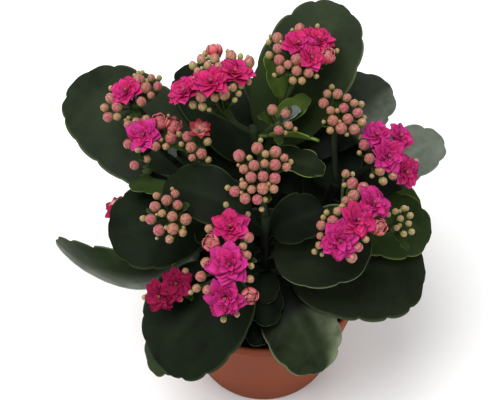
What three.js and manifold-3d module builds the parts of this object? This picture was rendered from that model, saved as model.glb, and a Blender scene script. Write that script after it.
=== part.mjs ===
// A double-flowered kalanchoe in a moulded plastic nursery pot.
// Millimetres, +Z up, +Y to the back. The origin is the middle of the pot's base.
import * as THREE from 'three';
import { mergeVertices } from 'three/addons/utils/BufferGeometryUtils.js';
import Module from 'manifold-3d';

const wasm = await Module();
wasm.setup();
const { Manifold, Mesh: SolidMesh } = wasm;

// Driving dimensions
const rimRadius = 52.5; // a 10.5 cm pot
const potHeight = 90;
const baseRadius = 37.5;
const wall = 1.6;
const bandHeight = 8; // the stiffening band under the rim
const bandStep = 1;
const floorThickness = 2.4;
const drainHoles = { count: 6, radius: 3.5, ring: 24 };
const soilBelowRim = 11;
const soilDome = 2;
const potFacets = 24;
const gap = 0.3; // clearance between separate pieces
const stemRadius = 2.8;
const peduncleRadius = 1.25;
const pedicelRadius = 0.75;
const leafThickness = 1.7;
const lobeLength = 9.5; // one rounded tooth of a leaf's edge
const lobeDepth = 1.3;
const headDepth = 15; // from a head's face down to where its stalks meet
const hubRadius = 3.2; // the swollen node a head's own stalks spring from
const floretUpright = 1.5; // how far florets turn from their spokes to the way their head faces
const budRoom = 1; // the share of its radius a bud keeps clear on its head's face
const domeRadius = 26; // of a head's face
const headLean = 32; // degrees: a head's face leans this far to the front

// Colours
const terracotta = 0xb4654a;
const soilBrown = 0x2b211c;
const stemGreen = 0x5b7440;
const leafGreen = 0x2f4423;
const flowerPink = 0xd4458f;
const budPink = 0xdd8f83;

const at = (x, y, z) => new THREE.Vector3(x, y, z);

// Solids

// Rings of equal length become one closed body, with each end drawn to a point. The second half
// of each ring takes the other diagonal, so that a thin blade is split alike on both faces.
function loft(rings, first, last) {
  const n = rings[0].length;
  const position = [first, ...rings.flat(), last].flatMap((p) => [p.x, p.y, p.z]);
  const end = rings.length * n + 1;
  const index = [];
  const ring = (i, j) => 1 + i * n + (j % n);
  for (let j = 0; j < n; j++) {
    index.push(0, ring(0, j + 1), ring(0, j));
    index.push(end, ring(rings.length - 1, j), ring(rings.length - 1, j + 1));
    for (let i = 0; i + 1 < rings.length; i++) {
      const [a, b, c, d] = [ring(i, j), ring(i, j + 1), ring(i + 1, j), ring(i + 1, j + 1)];
      if (j < n / 2) index.push(a, b, d, a, d, c);
      else index.push(a, b, c, b, d, c);
    }
  }
  const geometry = new THREE.BufferGeometry();
  geometry.setAttribute('position', new THREE.Float32BufferAttribute(position, 3));
  geometry.setIndex(index);
  return geometry;
}

function solid(geometry) {
  geometry.deleteAttribute('normal');
  geometry.deleteAttribute('uv');
  const merged = mergeVertices(geometry, 1e-4);
  const vertProperties = new Float32Array(merged.attributes.position.array);
  const triVerts = new Uint32Array(merged.index.array);
  const made = new Manifold(new SolidMesh({ numProp: 3, vertProperties, triVerts }));
  if (made.volume() > 0) return made;
  for (let i = 0; i < triVerts.length; i += 3) {
    [triVerts[i + 1], triVerts[i + 2]] = [triVerts[i + 2], triVerts[i + 1]];
  }
  return new Manifold(new SolidMesh({ numProp: 3, vertProperties, triVerts }));
}

// One closed body: pockets that the joining seals are filled, and loose scraps are dropped
function fuse(solids) {
  const bodies = solids.reduce((all, one) => all.add(one)).decompose();
  return bodies.reduce((largest, body) => (body.volume() > largest.volume() ? body : largest));
}

function geometryOf(manifold) {
  const { vertProperties, triVerts } = manifold.getMesh();
  const geometry = new THREE.BufferGeometry();
  geometry.setAttribute('position', new THREE.BufferAttribute(new Float32Array(vertProperties), 3));
  geometry.setIndex(new THREE.BufferAttribute(new Uint32Array(triVerts), 1));
  geometry.computeVertexNormals();
  return geometry;
}

// A round, tapering tube along a curve
function tube(curve, startRadius, endRadius, sides, steps) {
  const { normals, binormals } = curve.computeFrenetFrames(steps);
  const rings = [];
  for (let i = 0; i <= steps; i++) {
    const centre = curve.getPointAt(i / steps);
    const radius = startRadius + ((endRadius - startRadius) * i) / steps;
    rings.push(
      Array.from({ length: sides }, (_, j) => {
        const turn = (2 * Math.PI * j) / sides;
        return centre
          .clone()
          .addScaledVector(normals[i], radius * Math.cos(turn))
          .addScaledVector(binormals[i], radius * Math.sin(turn));
      }),
    );
  }
  return loft(rings, curve.getPointAt(0), curve.getPointAt(1));
}

// Two directions square to a given one
function squareTo(direction) {
  const helper = Math.abs(direction.z) < 0.9 ? at(0, 0, 1) : at(1, 0, 0);
  const across = new THREE.Vector3().crossVectors(helper, direction).normalize();
  return [across, new THREE.Vector3().crossVectors(direction, across)];
}

// Leaves

// A leaf runs from `base` to `tip` on a chord. arch lifts its middle off the chord, cup lifts its
// edges (or drops them, if negative), roll turns it about the chord, and wave ripples its edges.
function leafBlade({ base, tip, width, petiole = 0.14, arch = 6, cup = 3, roll = 0, wave = 0.6 }) {
  const chord = tip.clone().sub(base);
  const length = chord.length();
  const along = chord.clone().normalize();
  const level = new THREE.Vector3().crossVectors(along, at(0, 0, 1)).normalize();
  const turn = THREE.MathUtils.degToRad(roll);
  const side = level.applyAxisAngle(along, turn);
  const up = new THREE.Vector3().crossVectors(side, along);
  const middle = (1 + petiole) / 2;
  const lobes = Math.max(3, Math.round((length * 0.8) / lobeLength));
  const stations = lobes * 2;

  const place = (t, across, lift) => {
    const edge = across / (width / 2);
    const ripple = wave * Math.sin(t * 11 + Math.sign(across)) * edge * edge;
    const height = arch * 4 * t * (1 - t) + cup * edge * edge + ripple + lift;
    return base
      .clone()
      .addScaledVector(chord, t)
      .addScaledVector(side, across)
      .addScaledVector(up, height);
  };

  const rings = [];
  const section = (t, half, thick, edgeLeft, edgeRight) => {
    const inner = half * 0.45;
    rings.push([
      place(edgeLeft.t, -edgeLeft.half, 0),
      place(t, -inner, thick / 2),
      place(t, inner, thick / 2),
      place(edgeRight.t, edgeRight.half, 0),
      place(t, inner, -thick / 2),
      place(t, -inner, -thick / 2),
    ]);
  };
  const plain = (t, half) => ({ t, half });
  section(0, 1.5, 2.4, plain(0, 1.5), plain(0, 1.5));
  section(petiole * 0.85, 1.7, 2.2, plain(petiole * 0.85, 1.7), plain(petiole * 0.85, 1.7));
  for (let i = 1; i < stations; i++) {
    const angle = (Math.PI * i) / stations;
    const t = petiole + ((1 - petiole) * (1 - Math.cos(angle))) / 2;
    const half = (width / 2) * Math.sin(angle) ** 0.85 * (1 - 0.1 * Math.cos(angle));
    const edge = (phase) => {
      const notch = i > stations / 4 && (i + phase) % 2 === 0 ? lobeDepth / (width / 2) : 0;
      return { t: middle + (t - middle) * (1 - notch), half: half * (1 - notch) };
    };
    section(t, half, leafThickness, edge(0), edge(1));
  }
  return loft(rings, place(0, 0, 0), place(1, 0, 0));
}

// Florets

// Rings of `sides` points square to a direction, from [radius, distance] pairs
function ringsAlong(start, direction, outline, sides) {
  const [a, b] = squareTo(direction);
  return outline.map(([radius, distance]) =>
    Array.from({ length: sides }, (_, j) => {
      const turn = (2 * Math.PI * j) / sides;
      const reach = Array.isArray(radius) ? radius[j % radius.length] : radius;
      return start
        .clone()
        .addScaledVector(a, reach * Math.cos(turn))
        .addScaledVector(b, reach * Math.sin(turn))
        .addScaledVector(direction, distance);
    }),
  );
}

// A bud on its stalk, blunt below and pointed above
function bud(root, base, axis, { radius, height, sides }) {
  const stalk = base.clone().sub(root).normalize();
  const outline = [
    [pedicelRadius, 0],
    [radius, height * 0.36],
    [radius * 0.72, height * 0.8],
  ];
  const start = ringsAlong(root, stalk, [[pedicelRadius * 0.65, 0]], sides);
  const rings = [...start, ...ringsAlong(base, axis, outline, sides)];
  return [loft(rings, root, base.clone().addScaledVector(axis, height))];
}

// A double flower on its stalk: two layers of petals, the upper one's tips over the lower one's gaps
function bloom(root, base, axis, { radius, petals = 6 }) {
  const outline = [
    [[radius, radius * 0.62], radius * 0.2],
    [[radius * 0.5, radius * 0.6], radius * 0.24],
    [[radius * 0.4, radius * 0.72], radius * 0.5],
  ];
  const rings = ringsAlong(base, axis, outline, petals * 2);
  const stalk = new THREE.LineCurve3(root, base.clone().addScaledVector(axis, radius * 0.1));
  return [
    tube(stalk, pedicelRadius * 0.65, pedicelRadius * 1.4, 4, 1),
    loft(rings, base, base.clone().addScaledVector(axis, radius * 0.3)),
  ];
}

// The pot and its soil

function potWall() {
  const bandBottom = potHeight - bandHeight;
  const taper = (z) => baseRadius + ((rimRadius - bandStep - baseRadius) * z) / bandBottom;
  const outline = [
    [0, 0],
    [baseRadius - 1, 0],
    [baseRadius, 1],
    [taper(bandBottom), bandBottom],
    [rimRadius - 0.3, bandBottom + 0.4],
    [rimRadius, potHeight - 0.6],
    [rimRadius - 0.6, potHeight],
    [rimRadius - wall, potHeight],
    [taper(bandBottom) - wall, bandBottom],
    [baseRadius - wall, floorThickness],
    [0, floorThickness],
  ];
  const lathe = new THREE.LatheGeometry(outline.map(([r, z]) => new THREE.Vector2(r, z)), potFacets);
  let made = solid(lathe.rotateX(Math.PI / 2));
  for (let i = 0; i < drainHoles.count; i++) {
    const turn = (2 * Math.PI * (i + 0.5)) / drainHoles.count;
    const hole = new THREE.CylinderGeometry(drainHoles.radius, drainHoles.radius, 10, 8);
    hole.rotateX(Math.PI / 2);
    hole.translate(drainHoles.ring * Math.cos(turn), drainHoles.ring * Math.sin(turn), 1);
    made = made.subtract(solid(hole));
  }
  return made;
}

function soilBed(holes) {
  const bottom = floorThickness + gap;
  const top = potHeight - soilBelowRim;
  const bandBottom = potHeight - bandHeight;
  const inside = (z) =>
    baseRadius - wall + ((rimRadius - bandStep - baseRadius) * (z - floorThickness)) / bandBottom - 0.5;
  const outline = [
    [0, bottom],
    [inside(bottom), bottom],
    [inside(top), top],
    [inside(top) * 0.8, top + soilDome * 0.6],
    [inside(top) * 0.4, top + soilDome],
    [0, top + soilDome],
  ];
  const lathe = new THREE.LatheGeometry(outline.map(([r, z]) => new THREE.Vector2(r, z)), potFacets);
  const bed = solid(lathe.rotateX(Math.PI / 2));
  return holes.reduce((left, hole) => left.subtract(hole), bed);
}

// Main stems, each given by the points it passes through, from its root upwards
const soilTop = potHeight - soilBelowRim;
const stems = {
  left: [at(-13, 3, soilTop - 17), at(-17, 6, 98), at(-25, 10, 125), at(-31, 15, 146)],
  back: [at(2, 14, soilTop - 17), at(0, 20, 98), at(-3, 28, 130), at(-6, 34, 156)],
  right: [at(15, 3, soilTop - 17), at(21, 6, 98), at(28, 9, 120), at(34, 12, 141)],
  front: [at(1, -11, soilTop - 17), at(0, -15, 98), at(0, -18, 122), at(0, -13, 150)],
};
const stemCurves = Object.fromEntries(
  Object.entries(stems).map(([name, points]) => [name, new THREE.CatmullRomCurve3(points)]),
);

// The point of a main stem's centreline at a height
function stemPoint(name, z) {
  const curve = stemCurves[name];
  const samples = 60;
  let best = curve.getPoint(0);
  for (let i = 0; i <= samples; i++) {
    const point = curve.getPoint(i / samples);
    if (Math.abs(point.z - z) < Math.abs(best.z - z)) best = point;
  }
  return best;
}

// The large leaves: the stem and height each grows from, where its tip is, and its form
const leaves = {
  leafUpperLeft: { stem: 'left', z: 121, tip: at(-95, 81, 133), width: 54, arch: 7, cup: -2, roll: -6 },
  leafTop: { stem: 'back', z: 132, tip: at(37, 83, 188), width: 49, arch: 4, cup: 1, roll: 0 },
  leafUpperRight: { stem: 'back', z: 129, tip: at(62, 65, 148), width: 44, arch: 6, cup: -2, roll: -8 },
  leafFarRight: { stem: 'right', z: 118, tip: at(89, 49, 126), width: 30, arch: 6, cup: 3, roll: 8 },
  leafRightRear: { stem: 'right', z: 107, tip: at(78, 22, 109), width: 34, arch: 5, cup: 2, roll: 0 },
  leafRight: { stem: 'right', z: 114, tip: at(82, 1, 113), width: 36, arch: 7, cup: -2, roll: 12 },
  leafLowerRight: { stem: 'front', z: 101, tip: at(79, -16, 104), width: 57, arch: 7, cup: -3, roll: 3 },
  leafFrontRight: {
    stem: 'front', z: 124, tip: at(50, -20, 138), width: 41, petiole: 0.06, arch: -2, cup: 6, roll: 14,
  },
  leafCentreRight: {
    stem: 'front', z: 137, tip: at(28, -6, 145), width: 25, petiole: 0.08, arch: 3, cup: 3, roll: 8,
  },
  leafLeft: { stem: 'left', z: 113, tip: at(-76, -6, 121), width: 46, arch: 6, cup: -2, roll: -6 },
  leafCentreLeft: { stem: 'front', z: 144, tip: at(-48, 7, 148), width: 29, arch: 9, cup: 1, roll: -10 },
  leafFarLeft: { stem: 'left', z: 108, tip: at(-101, -12, 125), width: 35, arch: -25, cup: 5, roll: 25 },
  leafLowerLeft: { stem: 'front', z: 113, tip: at(-53, -58, 89), width: 57, arch: 12, cup: -3, roll: 4 },
  leafLowestLeft: { stem: 'front', z: 104, tip: at(-57, -55, 74), width: 34, arch: 13, cup: -1, roll: 8 },
  leafFront: { stem: 'front', z: 101, tip: at(0, -47, 106), width: 18, arch: 4, cup: -2, roll: 0 },
  leafLowerFront: { stem: 'front', z: 97, tip: at(28, -60, 83), width: 37, arch: 12, cup: -1, roll: 6 },
  leafBackLeft: { stem: 'back', z: 120, tip: at(-41, 86, 136), width: 34, arch: 6, cup: 2, roll: 0 },
  leafBack: { stem: 'back', z: 104, tip: at(-8, 96, 112), width: 46, arch: 12, cup: -3, roll: 0 },
  leafBackRight: { stem: 'back', z: 98, tip: at(52, 84, 100), width: 42, arch: 12, cup: -3, roll: 0 },
  leafLowBackLeft: { stem: 'left', z: 94, tip: at(-62, 62, 90), width: 40, arch: 8, cup: -3, roll: 0 },
  leafCentreRear: { stem: 'right', z: 125, tip: at(40, 48, 136), width: 28, arch: 4, cup: 2, roll: 0 },
  leafInnerLeft: { stem: 'back', z: 112, tip: at(-40, 61, 125), width: 32, arch: 4, cup: 2, roll: 0 },
  leafInnerRight: { stem: 'right', z: 112, tip: at(36, 40, 120), width: 26, arch: 3, cup: 2, roll: 0 },
  leafInnerFront: { stem: 'left', z: 97, tip: at(-24, -7, 98), width: 26, arch: 2, cup: -2, roll: 0 },
  leafCentre: { stem: 'back', z: 104, tip: at(-1, 3, 106), width: 26, arch: 5, cup: 2, roll: 0 },
  leafFrontLow: { stem: 'front', z: 93, tip: at(-5, -52, 94), width: 18, arch: 3, cup: -1, roll: 0 },
  leafFrontMiddle: { stem: 'front', z: 107, tip: at(0, -37, 110), width: 14, arch: 2, cup: 1, roll: 0 },
  leafHighRight: { stem: 'back', z: 140, tip: at(27, 6, 158), width: 16, arch: 2, cup: 2, roll: 0 },
  leafMidLeft: { stem: 'front', z: 125, tip: at(-34, -11, 132), width: 16, arch: 2, cup: 2, roll: 0 },
};

// Flower heads: the stem and height each stalk leaves, the middle of its face, the way it faces,
// and its florets as [right, up the face, kind, radius of a bloom]
const kinds = {
  tiny: { radius: 1.7, height: 4.2, sides: 4 },
  young: { radius: 2.2, height: 5.3, sides: 4 },
  plump: { radius: 2.9, height: 6.9, sides: 4 },
  opening: { radius: 3.9, height: 9.2, sides: 5 },
};
const heads = {
  headUpperLeft: {
    stem: 'left', z: 141, face: at(-65, 42, 170), facing: at(-0.3, -0.2, 1),
    blooms: [[-2, 4, 7.4]],
    plump: [[5, 9], [8.5, 6], [13, 6], [6, -2], [-10, 0], [-7, -4.5], [-11.5, -9]],
    young: [[10.5, 10], [10.5, 1.5], [-13, -5], [-6.5, -9]],
  },
  headLeft: {
    stem: 'left', z: 135, face: at(-56, 24, 165), facing: at(-0.2, -0.3, 1),
    blooms: [[-2, 0, 7.8]],
    opening: [[7, 7], [12, 5.5]],
    plump: [[-10, -4.5], [4, -5], [11.5, -2]],
    young: [[-10, 5.5], [-6, 6.5], [-1, 8], [-4.5, -7], [8.5, -5.5]],
  },
  headInnerLeft: {
    stem: 'left', z: 144, face: at(-32, 19, 166), facing: at(0, -0.2, 1),
    blooms: [[1, 5.5, 5.4]],
    plump: [[-4.5, 3], [-3.5, -1.5], [2, -5.5]],
    young: [[5, 0.5], [-2.5, -7.5]],
  },
  headBackLeft: {
    stem: 'back', z: 152, face: at(-25, 40, 196), facing: at(-0.1, 0.3, 1),
    blooms: [[-12.7, -10, 8], [-0.7, -6, 8], [11.3, -1, 8.4]],
    opening: [[1, 9]],
    plump: [[2, 4.5], [10, 6.8], [-4.7, 3.6], [-6.4, -9.2], [5.6, -7.5], [14, 2.3]],
    young: [[-8.2, 1.9], [-6, -1.2], [-2, -1.7], [2.9, 1.4], [9.1, -7], [-6.4, -13.2], [1.1, -10.6],
      [-9.6, -15.9], [13.6, -3.5]],
    tiny: [[12.7, 5], [12.7, -6.5], [11.8, -9]],
  },
  headBack: {
    stem: 'back', z: 146, face: at(15, 50, 196), facing: at(0, -0.05, 1),
    blooms: [[8.5, 6, 7.2], [2.5, 4, 7.4], [6, -3, 6.4]],
    opening: [[12, 1]],
    plump: [[1, 10], [-10, 6.5], [-10, 2], [-9.5, -4], [-1.5, -2.5], [-1.5, -9.5], [4.5, -9]],
    young: [[-13.5, -2], [-4.5, -6], [-8.5, -8], [2.5, -12.5], [-2, -13.5]],
  },
  headRear: {
    stem: 'right', z: 140, face: at(35, 28, 178), facing: at(0.1, -0.35, 1),
    plump: [[-1, 8.5], [-7.5, 5], [2, 2], [8, -0.5], [-4.5, -3.5], [3.5, -3.5], [0.5, -7.5], [7.5, -8]],
    young: [[-6, 8], [3.5, 6], [5.5, 4], [-5, -1], [9.5, -4.5], [-5, -8]],
  },
  headInner: {
    stem: 'back', z: 148, face: at(7, 25, 176), facing: at(0.1, -0.4, 1),
    plump: [[-4, 5], [2.5, 3], [-1, -5.5]],
    young: [[4, -3]],
  },
  headCentre: {
    stem: 'front', z: 146, face: at(-2, -15, 190), facing: at(0, -0.4, 1),
    plump: [[-1, 12], [6, 9.5], [6, 6], [-3.5, 4], [-1.5, -1], [5.5, -1.5], [-5.5, -1], [0, -6.5],
      [-3.5, -10.5], [-11, 9.5], [-10.5, -7.5], [-7.5, -9.5]],
    young: [[1.5, 10], [9.5, 7.5], [11, 5], [0.5, 6], [5.5, -6.5], [-5.5, -8], [-8, -4], [-7, 2]],
  },
  headFrontLeft: {
    stem: 'left', z: 123, face: at(-45, -20, 162), facing: at(-0.2, -0.5, 1),
    plump: [[-1.5, 9], [4.5, 6], [-6.5, 5.5], [1.5, 0.5], [-9, -1], [8.5, -1], [-5, -6.5], [2, -6]],
    young: [[-5, 9.5], [2.5, 11], [-3, 2], [7, -7.5], [0.5, -10.5]],
  },
  headRight: {
    stem: 'right', z: 132, face: at(58, 14, 165), facing: at(0.35, -0.3, 1),
    blooms: [[-5.5, 9, 7], [6.5, 8.5, 6.6], [0, -2, 8], [9, -9.5, 7]],
    plump: [[-9.5, -3], [-3.5, -9.5], [-12, 4]],
    young: [[-3, -13], [2.5, -11.5]],
  },
  headFrontRight: {
    stem: 'front', z: 133, face: at(38, -28, 168), facing: at(0.2, -0.4, 1),
    blooms: [[12, 11, 8], [4, 3, 8], [-5, -7, 8.4]],
    opening: [[15, -0.5]],
    plump: [[2.5, 20.5], [7, 18], [2.5, 15], [-8.5, 3], [-13, 0], [4, -10.5], [1.5, -14.5]],
    young: [[-0.5, 24], [-2, 12], [-6.5, 6], [-14, -4.5], [-14.5, -9], [7, -7]],
  },
  headFarRight: {
    stem: 'right', z: 131, face: at(64, -13, 146), facing: at(0.3, -0.3, 1),
    tiny: [[-3, 5.5], [1.5, 7], [4.5, 3.5], [-0.5, 2], [3.5, -0.5], [-2.5, -2.5], [1, -5.5],
      [5, -4.5]],
  },
  headFront: {
    stem: 'front', z: 128, face: at(-16, -48, 166), facing: at(-0.1, -0.5, 1),
    blooms: [[-0.5, 18.5, 8.4], [-1, 1, 9], [-3, -15, 8.6]],
    opening: [[9, -14.5], [-10, 12]],
    plump: [[-12, 1.5], [8, 13], [-14.5, -5], [-12, -11.5]],
    young: [[-10.5, 16.5], [6, 9.5], [7.5, 5.5], [-14.5, -11], [9, -6]],
  },
  headLowLeft: {
    stem: 'front', z: 122, face: at(-47, -36, 124), facing: at(-0.4, -0.7, 1),
    blooms: [[4.5, 2, 7.4], [-4, -4.5, 7.6]],
    young: [[9, 8]],
  },
  headFarLeft: {
    stem: 'left', z: 111, face: at(-75, 14, 117), facing: at(-0.5, -0.2, 1),
    opening: [[0, -0.5]],
  },
  headUpperInner: {
    stem: 'left', z: 131, face: at(-60, 16, 154), facing: at(-0.3, -0.2, 1),
    plump: [[-3, -1.5]],
    young: [[3.5, 1.5]],
  },
};

// Small leaves on the flower stalks: the head whose stalk each grows on, how far up, and its tip
const bracts = [
  { head: 'headUpperInner', share: 0.25, tip: at(-66, 15, 134), width: 12 },
  { head: 'headInnerLeft', share: 0.4, tip: at(-40, 33, 153), width: 8 },
  { head: 'headBack', share: 0.5, tip: at(1, 57, 184), width: 11 },
  { head: 'headInner', share: 0.4, tip: at(21, 40, 171), width: 13 },
  { head: 'headInner', share: 0.2, tip: at(25, 22, 162), width: 10, roll: -58 },
];

// Directions of a head's face: right, and up the slope that leans to the front
const lean = THREE.MathUtils.degToRad(headLean);
const rightward = at(1, 0, 0);
const upward = at(0, Math.cos(lean), Math.sin(lean));
const toward = at(0, -Math.sin(lean), Math.cos(lean));

function headFrame({ face, facing }) {
  const out = facing.clone().normalize();
  return { face, out, hub: face.clone().addScaledVector(out, -headDepth) };
}

// A floret's seat: on the plane square to the head's facing, drawn back from it into a dome
function floretSeat({ face, out }, across, up) {
  const flat = rightward.clone().multiplyScalar(across).addScaledVector(upward, up);
  flat.addScaledVector(toward, -out.dot(flat) / out.dot(toward));
  const dome = flat.lengthSq() / (2 * domeRadius);
  return face.clone().add(flat).addScaledVector(toward, -dome / out.dot(toward));
}

// The florets of a head. Those closer than their own widths are moved apart over its face; the
// buds give way more than the blooms.
function florets(spec) {
  const list = (spec.blooms ?? []).map(([across, up, radius]) => ({
    across, up, radius, height: radius * 0.6, room: radius * 0.72, give: 0.1, build: bloom,
  }));
  for (const [kind, size] of Object.entries(kinds)) {
    for (const [across, up] of spec[kind] ?? []) {
      list.push({ across, up, ...size, room: size.radius * budRoom, give: 1, build: bud });
    }
  }
  for (let round = 0; round < 30; round++) {
    list.forEach((a, i) => {
      for (const b of list.slice(i + 1)) {
        const apart = Math.max(0.1, Math.hypot(b.across - a.across, b.up - a.up));
        const push = Math.max(0, a.room + b.room - apart) / apart / (a.give + b.give) / 2;
        const [stepAcross, stepUp] = [(b.across - a.across) * push, (b.up - a.up) * push];
        a.across -= stepAcross * a.give;
        a.up -= stepUp * a.give;
        b.across += stepAcross * b.give;
        b.up += stepUp * b.give;
      }
    });
  }
  return list;
}

function headSolid(spec) {
  const frame = headFrame(spec);
  const { hub, out } = frame;
  const node = [
    [hubRadius * 0.55, 0],
    [hubRadius, hubRadius * 0.6],
    [hubRadius, hubRadius * 1.3],
    [hubRadius * 0.6, hubRadius * 1.85],
  ];
  const made = [loft(ringsAlong(hub, out, node, 5), hub, hub.clone().addScaledVector(out, hubRadius * 2))];
  const centre = hub.clone().addScaledVector(out, hubRadius);
  for (const floret of florets(spec)) {
    const seat = floretSeat(frame, floret.across, floret.up);
    const spoke = seat.clone().sub(centre).normalize();
    const axis = spoke.clone().addScaledVector(out, floretUpright).normalize();
    const base = seat.clone().addScaledVector(axis, -0.8 * floret.height);
    const stalk = base.clone().sub(centre).normalize();
    const root = centre.clone().addScaledVector(stalk, hubRadius - 0.8);
    made.push(...floret.build(root, base, axis, floret));
  }
  return fuse(made.map(solid));
}

// A flower stalk from its main stem to just under its head
function stalkCurve(spec) {
  const { out, hub } = headFrame(spec);
  const start = stemPoint(spec.stem, spec.z);
  const end = hub.clone().addScaledVector(out, -gap);
  const rise = Math.min(0.45 * end.distanceTo(start), 0.5 * (end.z - start.z) + 3);
  const bend = end.clone().addScaledVector(out, -rise);
  return new THREE.QuadraticBezierCurve3(start, bend, end);
}

// A main stem, made larger by `extra` all round to cut its neighbours clear
function stemTube(name, extra = 0) {
  return solid(tube(stemCurves[name], stemRadius + extra, stemRadius * 0.75 + extra, 7, 5));
}

function stemSolid(name) {
  const made = [stemTube(name)];
  for (const [head, spec] of Object.entries(heads)) {
    if (spec.stem !== name) continue;
    const curve = stalkCurve(spec);
    made.push(solid(tube(curve, peduncleRadius * 1.2, peduncleRadius, 5, 3)));
    for (const { share, tip, width, roll = 0 } of bracts.filter((b) => b.head === head)) {
      const base = curve.getPointAt(share);
      made.push(solid(leafBlade({ base, tip, width, arch: 2, cup: 1, roll, wave: 0.2 })));
    }
  }
  return fuse(made);
}

// A leaf's stalk starts inside its stem and is cut back to a gap around it
function leafSolid({ stem, z, tip, ...form }) {
  const base = stemPoint(stem, z);
  const outward = tip.clone().sub(base).normalize();
  base.addScaledVector(outward, 1);
  return solid(leafBlade({ base, tip, ...form })).subtract(stemTube(stem, gap));
}

// The plant in its pot

const plant = new THREE.Group();
plant.name = 'pottedKalanchoe';

function addPiece(name, manifold, color, roughness) {
  const material = new THREE.MeshStandardMaterial({ color, roughness, metalness: 0 });
  const mesh = new THREE.Mesh(geometryOf(manifold), material);
  mesh.name = name;
  plant.add(mesh);
}

addPiece('pot', potWall(), terracotta, 0.5);
const stemHoles = Object.keys(stems).map((name) => stemTube(name, gap * 2).translate([0, 0, -gap]));
addPiece('soil', soilBed(stemHoles), soilBrown, 0.95);
for (const name of Object.keys(stems)) {
  addPiece(`stem_${name}`, stemSolid(name), stemGreen, 0.5);
}
for (const [name, spec] of Object.entries(leaves)) {
  addPiece(name, leafSolid(spec), leafGreen, 0.35);
}
for (const [name, spec] of Object.entries(heads)) {
  addPiece(name, headSolid(spec), spec.blooms ? flowerPink : budPink, 0.5);
}

export default plant;
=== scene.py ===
import math
import random

import bmesh
import bpy
from mathutils import Matrix, Vector, noise


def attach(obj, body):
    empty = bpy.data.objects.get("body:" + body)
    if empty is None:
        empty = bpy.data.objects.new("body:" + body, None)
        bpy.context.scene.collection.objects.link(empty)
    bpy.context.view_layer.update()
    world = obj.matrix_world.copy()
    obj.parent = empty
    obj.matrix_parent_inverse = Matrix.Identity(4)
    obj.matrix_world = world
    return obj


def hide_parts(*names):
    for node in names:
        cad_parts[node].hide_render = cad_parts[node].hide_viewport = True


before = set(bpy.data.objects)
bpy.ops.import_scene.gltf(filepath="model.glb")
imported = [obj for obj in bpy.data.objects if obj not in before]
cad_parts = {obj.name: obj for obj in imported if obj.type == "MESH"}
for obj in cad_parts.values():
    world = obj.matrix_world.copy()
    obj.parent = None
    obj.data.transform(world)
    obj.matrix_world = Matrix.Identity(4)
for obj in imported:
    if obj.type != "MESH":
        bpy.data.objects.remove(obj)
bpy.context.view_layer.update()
mm = 0.001
fullTurn = 2 * math.pi
xAxis, yAxis, up = Vector((1, 0, 0)), Vector((0, 1, 0)), Vector((0, 0, 1))
print("frame loaded:", len(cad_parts), "nodes")


# Colours and nodes

def linear(hexCode):  # sRGB hex to the linear colour that a shader takes
    parts = [int(hexCode[i:i + 2], 16) / 255 for i in (1, 3, 5)]
    return [c / 12.92 if c <= 0.04045 else ((c + 0.055) / 1.055) ** 2.4 for c in parts] + [1.0]


def feed(tree, node, links):  # from a socket, or from a node's factor or else its first open output
    for name, source in links.items():
        if isinstance(source, bpy.types.Node):
            source = source.outputs.get("Fac") or next(output for output in source.outputs if output.enabled)
        tree.links.new(source, node.inputs[name])


def addNode(tree, kind, settings=None, links=None):  # one node, with its settings and what feeds it
    node = tree.nodes.new("ShaderNode" + kind)
    if kind == "Mix":  # every mix here is one of colours: 0 is its share, 6 and 7 are the two colours
        node.data_type = "RGBA"
    for name, value in (settings or {}).items():
        if name == "stops":  # a ramp's places and colours
            while len(node.color_ramp.elements) < len(value):
                node.color_ramp.elements.new(1)
            for element, (place, hexCode) in zip(node.color_ramp.elements, value):
                element.position, element.color = place, linear(hexCode)
        elif isinstance(name, int) or name in node.inputs:
            node.inputs[name].default_value = linear(value) if isinstance(value, str) else value
        else:
            setattr(node, name, value)
    feed(tree, node, links or {})
    return node


def startMaterial(name, settings, *marks):  # its tree, shader and coordinates, and the marks that it reads
    material = bpy.data.materials.new(name)
    material.use_nodes = True
    tree = material.node_tree
    tree.nodes.clear()
    shader = addNode(tree, "BsdfPrincipled", settings)
    addNode(tree, "OutputMaterial", None, {"Surface": shader})
    here = {"Vector": addNode(tree, "TexCoord").outputs["Object"]}
    return material, tree, shader, here, *(
        addNode(tree, "Attribute", {"attribute_name": mark}) for mark in marks)


# Building closed bodies from rings of points. A body's marks are numbers on its points, for the materials.

def startBody(*marks):
    return {"points": [], "faces": [], "skins": [], "marks": {mark: [] for mark in marks}}


def addLoft(body, rings, first, last, skin=0, **marks):  # each end is drawn to a point
    start, n = len(body["points"]), len(rings[0])
    count = len(rings) * n + 2
    end = start + count - 1
    body["points"] += [first, *(p for ring in rings for p in ring), last]
    spot = lambda i, j: start + 1 + i * n + j % n
    faces = []
    for j in range(n):
        faces.append((start, spot(0, j + 1), spot(0, j)))
        faces.append((end, spot(len(rings) - 1, j), spot(len(rings) - 1, j + 1)))
        for i in range(len(rings) - 1):
            faces.append((spot(i, j), spot(i, j + 1), spot(i + 1, j + 1), spot(i + 1, j)))
    body["faces"] += faces
    body["skins"] += [skin] * len(faces)
    for mark, store in body["marks"].items():  # one number, one for each ring, or one for each point
        value = marks.get(mark, 0.0)
        if not isinstance(value, list):
            store += [value] * count
        elif len(value) == count:
            store += value
        else:
            store += [value[0]] + [v for v in value for _ in range(n)] + [value[-1]]


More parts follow.
